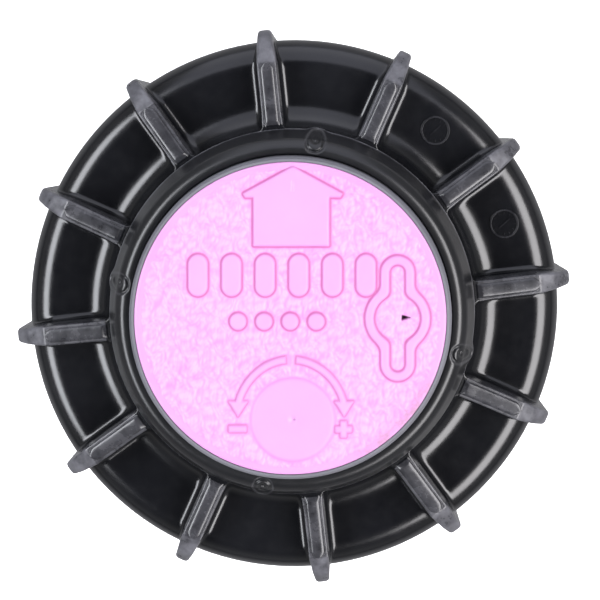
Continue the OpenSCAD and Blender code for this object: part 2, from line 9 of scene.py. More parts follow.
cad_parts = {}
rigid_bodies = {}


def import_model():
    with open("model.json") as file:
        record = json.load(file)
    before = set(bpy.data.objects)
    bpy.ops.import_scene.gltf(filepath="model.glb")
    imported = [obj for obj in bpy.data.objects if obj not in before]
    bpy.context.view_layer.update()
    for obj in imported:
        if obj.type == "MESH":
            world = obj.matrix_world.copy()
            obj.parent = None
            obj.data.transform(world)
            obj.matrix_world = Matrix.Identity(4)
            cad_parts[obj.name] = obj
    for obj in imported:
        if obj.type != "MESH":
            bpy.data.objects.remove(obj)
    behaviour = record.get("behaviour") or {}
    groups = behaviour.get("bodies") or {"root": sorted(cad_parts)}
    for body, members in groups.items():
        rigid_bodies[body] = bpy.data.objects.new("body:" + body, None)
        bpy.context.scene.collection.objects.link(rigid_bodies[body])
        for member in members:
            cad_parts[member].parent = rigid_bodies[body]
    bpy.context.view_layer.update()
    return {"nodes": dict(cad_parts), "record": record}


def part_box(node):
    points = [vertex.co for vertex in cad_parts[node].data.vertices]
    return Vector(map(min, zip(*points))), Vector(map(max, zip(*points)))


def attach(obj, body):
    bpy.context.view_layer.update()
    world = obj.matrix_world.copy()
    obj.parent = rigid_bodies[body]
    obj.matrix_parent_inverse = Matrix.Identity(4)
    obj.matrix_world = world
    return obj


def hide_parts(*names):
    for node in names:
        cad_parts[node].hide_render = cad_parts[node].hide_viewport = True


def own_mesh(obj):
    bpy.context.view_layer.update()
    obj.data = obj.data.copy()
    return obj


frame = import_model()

# A pop-up sprinkler's outer skin, springs, looks and stage, built around the CAD pieces. Lengths are in millimetres
# until a mesh is made.

MM = 0.001
TAU = 2 * math.pi

# ---------------------------------------------------------------- sizes read from the CAD frame, in mm


def node_box(name):
    lo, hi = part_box(name)
    return np.array(lo) / MM, np.array(hi) / MM


cap_lo = node_box("body_cap")[0]
cover_hi = node_box("rubber_cover")[1]
bezel_hi = node_box("turret_bezel")[1]
seal_lo = node_box("wiper_seal")[0]
riser_lo, riser_hi = node_box("riser_tube")
turret_lo, turret_hi = node_box("nozzle_turret")
spring_lo, spring_hi = node_box("retraction_spring")
bypass_lo, bypass_hi = node_box("bypass_spring")

# turret head
FACE_Z = float(bezel_hi[2]) + 0.05  # the rubber cover's flat face
MARK_H = float(cover_hi[2]) - FACE_Z  # how far its marks stand up
COVER_R = float(cover_hi[0])
BEZEL_R = float(bezel_hi[0])
RISER_R = float(turret_hi[0])

# screw cap: a smooth collar, then a ribbed skin whose panels lie below it
COLLAR_IN_R = BEZEL_R + 0.1
COLLAR_R = 18.58
COLLAR_TOP_Z = FACE_Z - 1.7
COLLAR_EDGE_Z = FACE_Z - 5.4
PANEL_Z = FACE_Z - 9.5
CAP_UNDER_Z = FACE_Z - 12.2
SKIRT_Z = float(cap_lo[2])
RIM_R = 27.35  # the skirt between the ribs
TIP_R = 28.6  # the ribs' tips
DRAFT = 1.4  # how far the skirt leans in toward its foot
TIP_DRAFT = 1.9  # how far the ribs' tips lean in
RIB_PHASE = 6.07  # degrees
RIB_COUNT = 12
RIB_HALF = 1.0  # half a rib's width at its crest

# ---------------------------------------------------------------- mesh helpers


def new_object(name, verts, faces, smooth=True):
    me = bpy.data.meshes.new(name)
    me.from_pydata([tuple(v) for v in np.asarray(verts, float) * MM], [], [tuple(f) for f in faces])
    me.validate()
    me.polygons.foreach_set("use_smooth", [smooth] * len(me.polygons))
    me.update()
    ob = bpy.data.objects.new(name, me)
    bpy.context.scene.collection.objects.link(ob)
    return ob


def grid_faces(rows, cols, close_rows=False, close_cols=False):
    """Quads between the points of a grid, row after row."""
    i = np.arange(rows if close_rows else rows - 1)
    j = np.arange(cols if close_cols else cols - 1)
    i, j = np.meshgrid(i, j, indexing="ij")
    a = i * cols + j
    b = i * cols + (j + 1) % cols
    c = ((i + 1) % rows) * cols + (j + 1) % cols
    d = ((i + 1) % rows) * cols + j
    return np.stack([a, b, c, d], -1).reshape(-1, 4).tolist()


def rounded(points, steps=6):
    """A polyline whose corners, given as (r, z, radius), are replaced by arcs."""
    out = []
    pts = [np.array(p[:2], float) for p in points]
    for k, p in enumerate(points):
        rad = p[2] if len(p) > 2 else 0
        if rad <= 0 or k in (0, len(points) - 1):
            out.append(pts[k])
            continue
        a, b, c = pts[k - 1], pts[k], pts[k + 1]
        u = (a - b) / np.linalg.norm(a - b)
        v = (c - b) / np.linalg.norm(c - b)
        ang = math.acos(float(np.clip(u @ v, -1, 1)))
        cut = min(rad / math.tan(ang / 2), 0.49 * np.linalg.norm(a - b), 0.49 * np.linalg.norm(c - b))
        rad = cut * math.tan(ang / 2)
        start, end = b + u * cut, b + v * cut
        mid = (u + v) / np.linalg.norm(u + v)
        centre = b + mid * (rad / math.sin(ang / 2))
        a0 = math.atan2(*(start - centre)[::-1])
        a1 = math.atan2(*(end - centre)[::-1])
        da = (a1 - a0 + math.pi) % TAU - math.pi
        for s in np.linspace(0, 1, steps + 1):
            out.append(centre + rad * np.array([math.cos(a0 + da * s), math.sin(a0 + da * s)]))
    return np.array(out)


def subdivide(points, longest):
    """Extra points so that no step of the polyline is longer than asked."""
    out = [points[0]]
    for a, b in zip(points[:-1], points[1:]):
        n = max(1, int(math.ceil(np.linalg.norm(b - a) / longest)))
        out += [a + (b - a) * k / n for k in range(1, n + 1)]
    return np.array(out)


def revolve(name, profile, cols, closed=False):
    """Turns a profile of (r, z) points around the Z axis. A closed profile joins its last point to its first."""
    a = np.arange(cols) * TAU / cols
    r, z = profile[:, 0], profile[:, 1]
    verts = np.stack([r[:, None] * np.cos(a), r[:, None] * np.sin(a), np.repeat(z[:, None], cols, 1)], -1)
    return new_object(name, verts.reshape(-1, 3), grid_faces(len(profile), cols, closed, True))


def paint(ob, wear):
    """Stores how worn each vertex is, or on the collar's edge how strong its painted highlight is, in red, for the
    plastic's material.
    """
    colour = np.zeros((len(ob.data.vertices), 4), np.float32)
    colour[:, 0] = wear
    colour[:, 3] = 1
    ob.data.color_attributes.new("wear", "FLOAT_COLOR", "POINT").data.foreach_set("color", colour.ravel())
    return ob


def sweep(name, path, section):
    """Carries a closed section of (outwards, up) pairs along a path of points around the Z axis, with capped ends."""
    path = np.asarray(path, float)
    out = path[:, :2] / np.linalg.norm(path[:, :2], axis=1)[:, None]
    section = np.asarray(section, float)
    if section.ndim == 2:
        section = np.repeat(section[None], len(path), 0)
    xy = path[:, None, :2] + out[:, None, :] * section[:, :, 0:1]
    z = path[:, None, 2:3] + section[:, :, 1:2]
    verts = np.concatenate([xy, z], -1)
    n, m = verts.shape[:2]
    faces = grid_faces(n, m, False, True)
    faces += [list(range(m)), list(range(n * m - 1, n * m - m - 1, -1))]
    return new_object(name, verts.reshape(-1, 3), faces)


def coil(name, z0, z1, mean_r, wire, turns, steps, sides):
    """A compression spring with one dead turn at each end."""
    t = np.linspace(0, turns, turns * steps + 1)
    free = (z1 - z0 - 3 * wire) / (turns - 2)
    z = z0 + np.where(t < 1, wire / 2 + t * wire,
                      np.where(t > turns - 1, z1 - z0 - wire / 2 - (turns - t) * wire, 1.5 * wire + (t - 1) * free))
    path = np.stack([mean_r * np.cos(t * TAU), mean_r * np.sin(t * TAU), z], -1)
    a = np.arange(sides) * TAU / sides
    return sweep(name, path, np.stack([np.cos(a), np.sin(a)], -1) * wire / 2)


def plate(name, outline, thick, degrees, bevel):
    """A flat fin standing out from the Z axis: an outline of (r, z) points, bevelled all round."""
    bm = bmesh.new()
    rows = [[bm.verts.new((r * MM, y * MM, z * MM)) for r, z in outline] for y in (-thick / 2, thick / 2)]
    n = len(outline)
    bm.faces.new(rows[0])
    bm.faces.new(rows[1][::-1])
    for k in range(n):
        bm.faces.new((rows[0][(k + 1) % n], rows[0][k], rows[1][k], rows[1][(k + 1) % n]))
    bmesh.ops.recalc_face_normals(bm, faces=bm.faces)
    bmesh.ops.bevel(bm, geom=list(bm.edges), offset=bevel * MM, segments=3, profile=0.5, affect="EDGES")
    bmesh.ops.rotate(bm, verts=bm.verts, cent=(0, 0, 0), matrix=Matrix.Rotation(math.radians(degrees), 3, "Z"))
    me = bpy.data.meshes.new(name)
    bm.to_mesh(me)
    bm.free()
    me.polygons.foreach_set("use_smooth", [True] * len(me.polygons))
    ob = bpy.data.objects.new(name, me)
    bpy.context.scene.collection.objects.link(ob)
    return ob


# ---------------------------------------------------------------- materials


def material(name):
    m = bpy.data.materials.new(name)
    m.use_nodes = True
    nt = m.node_tree
    bsdf = nt.nodes["Principled BSDF"]
    return m, nt, bsdf


def add(nt, kind, **props):
    n = nt.nodes.new(kind)
    for k, v in props.items():
        if k in n.inputs:
            n.inputs[k].default_value = v
        else:
            setattr(n, k, v)
    return n


def ramp(nt, src, stops):
    """A colour ramp. Each stop is a position and either one grey value or three colour values."""
    n = nt.nodes.new("ShaderNodeValToRGB")
    els = n.color_ramp.elements
    while len(els) < len(stops):
        els.new(0.5)
    for e, (pos, col) in zip(els, stops):
        e.position = pos
        e.color = (*col, 1) if len(col) == 3 else (col[0], col[0], col[0], 1)
    nt.links.new(src, n.inputs["Fac"])
    return n.outputs["Color"]


def noise(nt, vec, scale, detail=4, rough=0.55):
    n = nt.nodes.new("ShaderNodeTexNoise")
    n.inputs["Scale"].default_value = scale
    n.inputs["Detail"].default_value = detail
    n.inputs["Roughness"].default_value = rough
    nt.links.new(vec, n.inputs["Vector"])
    return n.outputs["Fac"]


def mix_rgb(nt, fac, a, b):
    n = nt.nodes.new("ShaderNodeMix")
    n.data_type = "RGBA"
    for sock, val in ((n.inputs["Factor"], fac), (n.inputs[6], a), (n.inputs[7], b)):
        if hasattr(val, "links"):
            nt.links.new(val, sock)
        elif isinstance(val, (int, float)):
            sock.default_value = val
        else:
            sock.default_value = (*val, 1)
    return n.outputs[2]


def math_node(nt, op, a, b=None, c=None, clamp=False):
    n = nt.nodes.new("ShaderNodeMath")
    n.operation = op
    n.use_clamp = clamp
    for sock, val in zip(n.inputs, (a, b, c)):
        if val is None:
            continue
        if hasattr(val, "links"):
            nt.links.new(val, sock)
        else:
            sock.default_value = val
    return n.outputs[0]


def plastic(name, colour, rough=0.32, wear=0.5, dust=0.25, edge=(0.16, 0.16, 0.17), spec=0.5, cad=False):
    """Moulded plastic: fine moulding grain, swirls in the gloss, scuffed edges and patches of dust.

    Made pieces carry their wear per vertex, and the collar also a painted highlight along its outer edge; on a CAD
    piece the edges are found by a bevel of the normals.
    """
    m, nt, bsdf = material(name)
    tc = add(nt, "ShaderNodeTexCoord")
    vec = tc.outputs["Object"]
    big = noise(nt, vec, 90, 5, 0.6)
    mid = noise(nt, vec, 600, 4, 0.65)
    fine = noise(nt, vec, 2400, 3, 0.6)
    light = tuple(min(1, c * 1.35 + 0.003) for c in colour)
    col = mix_rgb(nt, ramp(nt, big, [(0.35, (0,)), (0.7, (1,))]), colour, light)
    bump = add(nt, "ShaderNodeBump", Strength=0.3, Distance=0.00005)
    if cad:
        bevel = add(nt, "ShaderNodeBevel", Radius=0.00022)
        bevel.samples = 4
        geo = add(nt, "ShaderNodeNewGeometry")
        dot = nt.nodes.new("ShaderNodeVectorMath")
        dot.operation = "DOT_PRODUCT"
        nt.links.new(bevel.outputs["Normal"], dot.inputs[0])
        nt.links.new(geo.outputs["Normal"], dot.inputs[1])
        worn = ramp(nt, dot.outputs["Value"], [(0.8, (1,)), (0.97, (0,))])
        nt.links.new(bevel.outputs["Normal"], bump.inputs["Normal"])
    else:
        att = add(nt, "ShaderNodeAttribute", attribute_name="wear")
        sep = add(nt, "ShaderNodeSeparateColor")
        nt.links.new(att.outputs["Color"], sep.inputs["Color"])
        worn = sep.outputs[0]
    scuff = math_node(nt, "MULTIPLY", worn, ramp(nt, mid, [(0.3, (0.25,)), (0.65, (1,))]))
    scuff = math_node(nt, "MULTIPLY", scuff, wear, clamp=True)
    col = mix_rgb(nt, scuff, col, edge)
    dusty = math_node(nt, "MULTIPLY", ramp(nt, noise(nt, vec, 260, 6, 0.7), [(0.5, (0,)), (0.8, (1,))]), 0.35)
    dusty = math_node(nt, "MULTIPLY", dusty, dust, clamp=True)
    col = mix_rgb(nt, dusty, col, tuple(min(1, c * 0.6 + 0.1) for c in colour))
    nt.links.new(col, bsdf.inputs["Base Color"])
    r = math_node(nt, "MULTIPLY_ADD", mid, 0.12, rough - 0.06)
    r = math_node(nt, "ADD", r, math_node(nt, "MULTIPLY", dusty, 0.35))
    r = math_node(nt, "ADD", r, math_node(nt, "MULTIPLY", scuff, 0.2), clamp=True)
    nt.links.new(r, bsdf.inputs["Roughness"])
    bsdf.inputs["Specular IOR Level"].default_value = spec
    height = math_node(nt, "MULTIPLY_ADD", big, 0.6, math_node(nt, "MULTIPLY", fine, 0.12))
    nt.links.new(height, bump.inputs["Height"])
    nt.links.new(bump.outputs["Normal"], bsdf.inputs["Normal"])
    return m


def metal(name, colour, rough=0.25, drawn=(1, 1, 30)):
    m, nt, bsdf = material(name)
    tc = add(nt, "ShaderNodeTexCoord")
    mp = add(nt, "ShaderNodeMapping")
    mp.inputs["Scale"].default_value = drawn
    nt.links.new(tc.outputs["Object"], mp.inputs["Vector"])
    streak = noise(nt, mp.outputs["Vector"], 900, 4, 0.7)
    spots = noise(nt, tc.outputs["Object"], 220, 5, 0.6)
    dark = tuple(c * 0.55 for c in colour)
    col = mix_rgb(nt, ramp(nt, spots, [(0.35, (0,)), (0.7, (1,))]), dark, colour)
    nt.links.new(col, bsdf.inputs["Base Color"])
    bsdf.inputs["Metallic"].default_value = 1
    nt.links.new(math_node(nt, "MULTIPLY_ADD", streak, 0.3, rough - 0.1), bsdf.inputs["Roughness"])
    bump = add(nt, "ShaderNodeBump", Strength=0.3, Distance=0.00003)
    nt.links.new(streak, bump.inputs["Height"])
    nt.links.new(bump.outputs["Normal"], bsdf.inputs["Normal"])
    return m


def rubber(name, colour, rough=0.55):
    m, nt, bsdf = material(name)
    tc = add(nt, "ShaderNodeTexCoord")
    vec = tc.outputs["Object"]
    a = noise(nt, vec, 300, 5, 0.6)
    b = noise(nt, vec, 3000, 3, 0.6)
    col = mix_rgb(nt, ramp(nt, a, [(0.4, (0,)), (0.75, (1,))]), colour, tuple(c * 1.8 + 0.02 for c in colour))
    nt.links.new(col, bsdf.inputs["Base Color"])
    nt.links.new(math_node(nt, "MULTIPLY_ADD", a, 0.25, rough - 0.1), bsdf.inputs["Roughness"])
    bump = add(nt, "ShaderNodeBump", Strength=0.4, Distance=0.00005)
    nt.links.new(b, bump.inputs["Height"])
    nt.links.new(bump.outputs["Normal"], bsdf.inputs["Normal"])
    return m


def cover_material():
    """Lilac rubber: paler on the worn raised marks, with painted shade along their edges, a painted highlight on the
    grain's bumps that leaves its pits deeper, and painted shade in the key slit.
    """
    m, nt, bsdf = material("cover_rubber_look")
    tc = add(nt, "ShaderNodeTexCoord")
    vec = tc.outputs["Object"]
    att = add(nt, "ShaderNodeAttribute", attribute_name="relief")
    sep = add(nt, "ShaderNodeSeparateColor")
    nt.links.new(att.outputs["Color"], sep.inputs["Color"])
    mark, edge, grain = sep.outputs[0], sep.outputs[1], sep.outputs[2]
    blotch = noise(nt, vec, 160, 5, 0.6)
    fine = noise(nt, vec, 5200, 3, 0.6)
    base = mix_rgb(nt, ramp(nt, blotch, [(0.3, (0,)), (0.7, (1,))]), (0.59, 0.228, 0.505), (0.615, 0.262, 0.55))
    # painted highlight: the tops of the grain's bumps are paler
    base = mix_rgb(nt, math_node(nt, "MULTIPLY", grain, 1.6, clamp=True), base, (0.65, 0.36, 0.64))
    smooth_col = mix_rgb(nt, ramp(nt, blotch, [(0.3, (0,)), (0.75, (1,))]), (0.63, 0.295, 0.6), (0.64, 0.315, 0.615))
    col = mix_rgb(nt, mark, base, smooth_col)
    # painted shade: a darker magenta line along the foot of each raised mark, and the darker band near the rim
    col = mix_rgb(nt, math_node(nt, "MULTIPLY", edge, 0.8), col, (0.47, 0.085, 0.27))
    # painted shade inside the slit cut for the pull-up key and in a small pit in the disc
    col = mix_rgb(nt, att.outputs["Alpha"], (0.02, 0.01, 0.015), col)
    # faint soil film near the lower right rim
    sepx = add(nt, "ShaderNodeSeparateXYZ")
    nt.links.new(vec, sepx.inputs[0])
    away = math_node(nt, "SUBTRACT", math_node(nt, "MULTIPLY", sepx.outputs[0], 70),
                     math_node(nt, "MULTIPLY", sepx.outputs[1], 70))
    soil = math_node(nt, "MULTIPLY", ramp(nt, math_node(nt, "SUBTRACT", away, 0.9), [(0.42, (0,)), (0.58, (1,))]),
                     ramp(nt, noise(nt, vec, 500, 6, 0.7), [(0.4, (0,)), (0.62, (1,))]))
    col = mix_rgb(nt, math_node(nt, "MULTIPLY", soil, 0.6), col, (0.3, 0.17, 0.18))
    nt.links.new(col, bsdf.inputs["Base Color"])
    r = math_node(nt, "MULTIPLY_ADD", blotch, 0.2, 0.36)
    r = math_node(nt, "ADD", r, math_node(nt, "MULTIPLY", mark, -0.06))
    nt.links.new(r, bsdf.inputs["Roughness"])
    bsdf.inputs["Specular IOR Level"].default_value = 0.45
    bsdf.inputs["Subsurface Weight"].default_value = 0.12
    bsdf.inputs["Subsurface Radius"].default_value = (0.0012, 0.0005, 0.001)
    bsdf.inputs["Subsurface Scale"].default_value = 0.6
    bump = add(nt, "ShaderNodeBump", Strength=0.3, Distance=0.00004)
    nt.links.new(fine, bump.inputs["Height"])
    nt.links.new(bump.outputs["Normal"], bsdf.inputs["Normal"])
    return m


PLASTICS = {
    "black_plastic": dict(colour=(0.011, 0.0115, 0.014), rough=0.34, edge=(0.07, 0.07, 0.075)),
    "cap_plastic": dict(colour=(0.0025, 0.0028, 0.0042), rough=0.22, wear=1.0, dust=0.05, edge=(0.16, 0.16, 0.18),
                        spec=0.75),
    "dark_plastic": dict(colour=(0.03, 0.03, 0.034), rough=0.42),
    "natural_acetal": dict(colour=(0.72, 0.69, 0.6), rough=0.35, wear=0.3, dust=0.2, edge=(0.85, 0.83, 0.78)),
    "grey_plastic": dict(colour=(0.12, 0.12, 0.137), rough=0.55, wear=0.4, dust=0.2, edge=(0.27, 0.27, 0.29),
                         spec=0.3),
    "nozzle_plastic": dict(colour=(0.05, 0.06, 0.09), rough=0.35),
}
LOOKS = {slot: plastic(slot + "_look", **kw) for slot, kw in PLASTICS.items()}
# the collar is the cap's plastic, less glossy, and paler where worn and along the painted highlight on its outer edge
LOOKS["satin_cap"] = plastic("satin_cap_look", **{**PLASTICS["cap_plastic"], "rough": 0.33, "edge": (0.3, 0.3, 0.33)})
LOOKS["spring_steel"] = metal("spring_steel_look", (0.62, 0.63, 0.65))
LOOKS["cast_zinc"] = metal("cast_zinc_look", (0.5, 0.51, 0.5), 0.45, (1, 1, 1))
LOOKS["seal_rubber"] = rubber("seal_rubber_look", (0.02, 0.02, 0.02))
LOOKS["cover_rubber"] = cover_material()
CAD_LOOKS = {**LOOKS, **{slot: plastic(slot + "_cad_look", cad=True, **kw) for slot, kw in PLASTICS.items()}}


def finish_piece(ob, slot_name, body, *nodes, look=None):
    """Gives a made piece its look, the body that it rides on and the CAD nodes that it replaces."""
    ob.data.materials.clear()
    ob.data.materials.append(LOOKS[look or slot_name])
    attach(ob, body)
    if nodes:
        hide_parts(*nodes)


for sub in frame["record"]["subparts"]:
    ob = frame["nodes"][sub["node"]]
    ob.data.materials.clear()
    ob.data.materials.append(CAD_LOOKS[sub["material_slot"]])

# ---------------------------------------------------------------- screw cap

# The collar is one smooth ring; the ribbed skin starts just under its edge.
COLLAR_COLS = 960  # fine enough for the pressed marks
MARK_AT_R = 17.5
PIN_MARKS = [(MARK_AT_R * math.cos(math.radians(deg)), MARK_AT_R * math.sin(math.radians(deg)))
             for deg in (82, 169.6, 260.6, 347)]
collar_profile = subdivide(rounded([
    (COLLAR_R - 0.6, PANEL_Z + 1.5), (COLLAR_R - 0.05, PANEL_Z + 2.5), (COLLAR_R - 0.02, COLLAR_EDGE_Z, 0.16),
    (17.75, COLLAR_TOP_Z - 0.75, 1.2), (17.05, COLLAR_TOP_Z, 0.9), (COLLAR_IN_R, COLLAR_TOP_Z, 0.2),
    (COLLAR_IN_R, CAP_UNDER_Z + 4.5, 0), (COLLAR_IN_R + 0.6, CAP_UNDER_Z + 3.2)], 6), 0.13)


def make_collar():
    """The collar's smooth ring with four round moulding marks pressed into its sloped band.

    Each mark is a round groove with a smaller one inside, and the collar's edge swells a little beside it.
    """
    ob = revolve("cap_collar", collar_profile, COLLAR_COLS)
    co = np.empty(len(ob.data.vertices) * 3)
    ob.data.vertices.foreach_get("co", co)
    co = co.reshape(-1, 3) / MM
    r = np.hypot(co[:, 0], co[:, 1])
    z0 = co[:, 2].copy()
    outside = r > COLLAR_IN_R + 0.3
    marked = np.zeros(len(co))
    for mx, my in PIN_MARKS:
        far = np.hypot(co[:, 0] - mx, co[:, 1] - my)
        off = np.hypot(co[:, 0] - mx * 1.012, co[:, 1] - my * 1.012 - 0.15)
        dish = -0.3 * np.clip((1.05 - far) / 0.12, 0, 1) + 0.26 * np.clip((0.82 - far) / 0.1, 0, 1)
        dish += -0.34 * np.clip((0.5 - off) / 0.12, 0, 1) + 0.22 * np.clip((0.22 - off) / 0.1, 0, 1)
        co[:, 2] += dish * outside * np.clip((z0 - COLLAR_EDGE_Z) / 0.5, 0, 1)
        swell = 0.3 * np.exp(-(np.clip(far - 0.95, 0, 9) / 0.4) ** 2) * np.clip((r - 17.9) / 0.6, 0, 1)
        swell *= np.clip((z0 - COLLAR_EDGE_Z + 1.3) / 1.1, 0, 1)
        co[:, :2] *= (1 + swell / r)[:, None]
        marked = np.maximum(marked, np.exp(-((far - 1.02) / 0.09) ** 2) * 0.15)
    ob.data.vertices.foreach_set("co", (co * MM).ravel())
    ob.data.update()
    # painted highlight: a thin paler line along the collar's outer edge, kept in the same channel as the marks' pale
    # rings
    rim = np.exp(-((r - COLLAR_R + 0.05) ** 2 + (co[:, 2] - COLLAR_EDGE_Z + 0.04) ** 2) / 0.04) * 0.8
    return paint(ob, np.maximum(rim, marked))


finish_piece(make_collar(), "cap_plastic", "body", look="satin_cap")


def cap_rows():
    """Rows of the cap's skin, from the collar's wall out over the panels, down the skirt and back in underneath.

    Each row holds the floor's (r, z), the rib crest's (r, z), the rib's width as a part of its full width, the rounding
    of its crest's corners and the rounding of its foot.
    """
    rows = []

    def put(b, c, w=1.0, rc=0.16, foot=0.7):
        rows.append((b[0], b[1], c[0], c[1], w, rc, foot))

    wall_top = COLLAR_EDGE_Z - 0.1
    inner_r, outer_r = 2.62, 2.65  # rounding of the floor at the collar's wall and at the rim
    round_at = RIM_R - outer_r
    crest_start, crest_end = COLLAR_R + 0.02, 25.4
    crest_slope = 0.115
    tip_width, tip_corner, tip_foot = 0.66, 0.42, 0.15

    def crest_z(r):
        return wall_top - 0.02 - crest_slope * (r - crest_start)

    put((COLLAR_R - 0.4, wall_top - 0.2), (COLLAR_R - 0.4, wall_top - 0.2))
    for s in np.linspace(0, 1, 6):
        r = crest_start + 0.35 * s
        put((COLLAR_R + 0.01 * s, wall_top - 0.05 - s * (wall_top - PANEL_Z - inner_r)), (r, crest_z(r)),
            1.3 - 0.22 * s)
    for a in np.linspace(0, math.pi / 2, 17)[1:]:
        r = crest_start + 0.35 + 1.5 * a / (math.pi / 2)
        put((COLLAR_R + 0.01 + inner_r * (1 - math.cos(a)), PANEL_Z + inner_r * (1 - math.sin(a))), (r, crest_z(r)),
            1.08 - 0.08 * a / (math.pi / 2))
    floor_in, crest_in = rows[-1][0], rows[-1][2]
    # closer rows near the crest's end draw the round end of its raised bar
    for r in np.concatenate([np.linspace(crest_in, 24.5, 15)[1:], np.linspace(24.55, crest_end, 18)]):
        put((floor_in + (round_at - floor_in) * (r - crest_in) / (crest_end - crest_in), PANEL_Z), (r, crest_z(r)))
    start = np.array([crest_end, crest_z(crest_end)])
    fall = rounded([start, (start[0] + 1.9, start[1] - 1.15, 2.5), (TIP_R - 0.12, start[1] - 2.7, 1.5),
                    (TIP_R, COLLAR_EDGE_Z - 4.6)], 8)
    along = np.concatenate([[0], np.cumsum(np.linalg.norm(np.diff(fall, axis=0), axis=1))])
    n = 26
    for k in range(1, n + 1):
        a = k / n * math.pi / 2
        t = along[-1] * k / n
        put((round_at + outer_r * math.sin(a), PANEL_Z - outer_r * (1 - math.cos(a))),
            (np.interp(t, along, fall[:, 0]), np.interp(t, along, fall[:, 1])), 1 - (1 - tip_width) * (k / n) ** 0.95,
            0.16 + (tip_corner - 0.16) * min(1, 1.6 * k / n), 0.7 - (0.7 - tip_foot) * min(1, 1.5 * k / n))
    bz, cz = rows[-1][1], rows[-1][3]
    for s in np.linspace(0, 1, 15)[1:]:
        put((RIM_R - DRAFT * s, bz + (SKIRT_Z + 0.45 - bz) * s), (TIP_R - TIP_DRAFT * s, cz + (SKIRT_Z + 0.6 - cz) * s),
            tip_width, tip_corner, tip_foot)
    for a in np.linspace(0, math.pi / 2, 6)[1:]:
        put((RIM_R - DRAFT - 0.4 * (1 - math.cos(a)), SKIRT_Z + 0.45 - 0.45 * math.sin(a)),
            (TIP_R - TIP_DRAFT - 0.6 * (1 - math.cos(a)), SKIRT_Z + 0.6 - 0.6 * math.sin(a)),
            tip_width, tip_corner, tip_foot)
    for p in ((24.9, SKIRT_Z), (24.52, SKIRT_Z + 0.4), (24.5, 158), (24.5, CAP_UNDER_Z), (20, CAP_UNDER_Z),
              (14.35, CAP_UNDER_Z), (14.3, CAP_UNDER_Z + 4.2), (14.5, CAP_UNDER_Z + 4.4), (16.4, CAP_UNDER_Z + 4.4)):
        put(p, p)
    return np.array(rows, float)


def rib_section(crest_r, height, half, corner, foot):
    """Half section of a grip rib: (sideways, up) pairs from its centre line out to the floor.

    A low bar with a round outer end runs along the crest.
    """
    bar_lift, bar_half, bar_end, bar_start = 0.26, 0.74, 25.35, COLLAR_R + 0.3
    lift = bar_lift * min(1.0, max(0.0, (crest_r - bar_start) / 0.5)) if height > 0.8 else 0.0
    bar = bar_half
    if crest_r > bar_end - bar_half:
        over = crest_r - (bar_end - bar_half)
        bar = math.sqrt(max(bar_half ** 2 - over ** 2, 0.0004)) if over < bar_half else 0.02
        lift *= 1 if over < bar_half else 0
    corner = min(corner, half * 0.85)
    flat = half - corner
    bar = min(bar, flat * 0.9)
    row = [(bar * u, height + lift * math.sqrt(max(0.0, 1 - u ** 4))) for u in (0, 0.3, 0.55, 0.75, 0.88, 0.96, 1)]
    row += [(bar + (flat - bar) * u, height) for u in (0.25, 0.6, 1)]
    row += [(flat + corner * math.sin(a), height - min(corner, height * 0.4) * (1 - math.cos(a)))
            for a in np.radians([20, 42, 66, 90])]
    foot = min(foot, height * 0.5)
    spread = half + 0.12
    row += [(spread + foot * (1 - math.cos(a)), foot * (1 - math.sin(a)))
            for a in np.radians([0, 12, 25, 38, 51, 64, 77, 90])]
    row += [(spread + foot + 0.25, 0), (spread + foot + 0.8, 0)]
    return row


def make_cap():
    """The ribbed skin: one rib and one panel, repeated around the axis."""
    rows = cap_rows()
    base, crest = rows[:, 0:2], rows[:, 2:4]
    height = np.linalg.norm(crest - base, axis=1)
    half = np.array([rib_section(row[2], tall, RIB_HALF * row[4], *row[5:7]) for row, tall in zip(rows, height)])
    y = np.concatenate([-half[:, ::-1, 0], half[:, 1:, 0]], 1)
    h = np.concatenate([half[:, ::-1, 1], half[:, 1:, 1]], 1)
    h[height < 0.02] = 0
    w = h / np.maximum(height, 1e-6)[:, None]
    r = base[:, 0:1] * (1 - w) + crest[:, 0:1] * w
    z = base[:, 1:2] * (1 - w) + crest[:, 1:2] * w
    side = np.arcsin(np.clip(y / np.maximum(r, 1e-3), -1, 1))
    sector, fill = TAU / RIB_COUNT, 14
    s = np.arange(1, fill + 1) / (fill + 1)
    gap = side[:, -1:] + (sector - 2 * side[:, -1:]) * s[None]
    ang_one = np.concatenate([side, gap], 1)
    r_one = np.concatenate([r, np.repeat(base[:, 0:1], fill, 1)], 1)
    z_one = np.concatenate([z, np.repeat(base[:, 1:2], fill, 1)], 1)
    ang = np.concatenate([ang_one + math.radians(RIB_PHASE) + k * sector for k in range(RIB_COUNT)], 1)
    r_all, z_all = np.tile(r_one, (1, RIB_COUNT)), np.tile(z_one, (1, RIB_COUNT))
    verts = np.stack([r_all * np.cos(ang), r_all * np.sin(ang), z_all], -1)
    ob = new_object("cap_shell", verts.reshape(-1, 3), grid_faces(*verts.shape[:2], False, True))
    # the crests, their bars and the tips are rubbed paler than the rest
    high = np.clip((z_all - (COLLAR_EDGE_Z - 6)) / 2, 0, 1)
    crest_w = np.tile(np.concatenate([w, np.zeros((len(rows), fill))], 1), (1, RIB_COUNT))
    on_bar = crest_w >= 1.015
    ledge = (crest_w > 0.9) & ~on_bar & (rows[:, 2:3] > COLLAR_R + 0.5)
    bar_top = on_bar & (rows[:, 2:3] > COLLAR_R + 0.4)
    outer = np.clip((r_all - 25.2) / 0.3, 0, 1) * np.clip((crest_w - 0.75) / 0.15, 0, 1)
    paint(ob, (high * np.maximum(ledge * 0.45 + bar_top * 0.28, outer * 0.85)).ravel())
    return ob


finish_piece(make_cap(), "cap_plastic", "body", "body_cap")


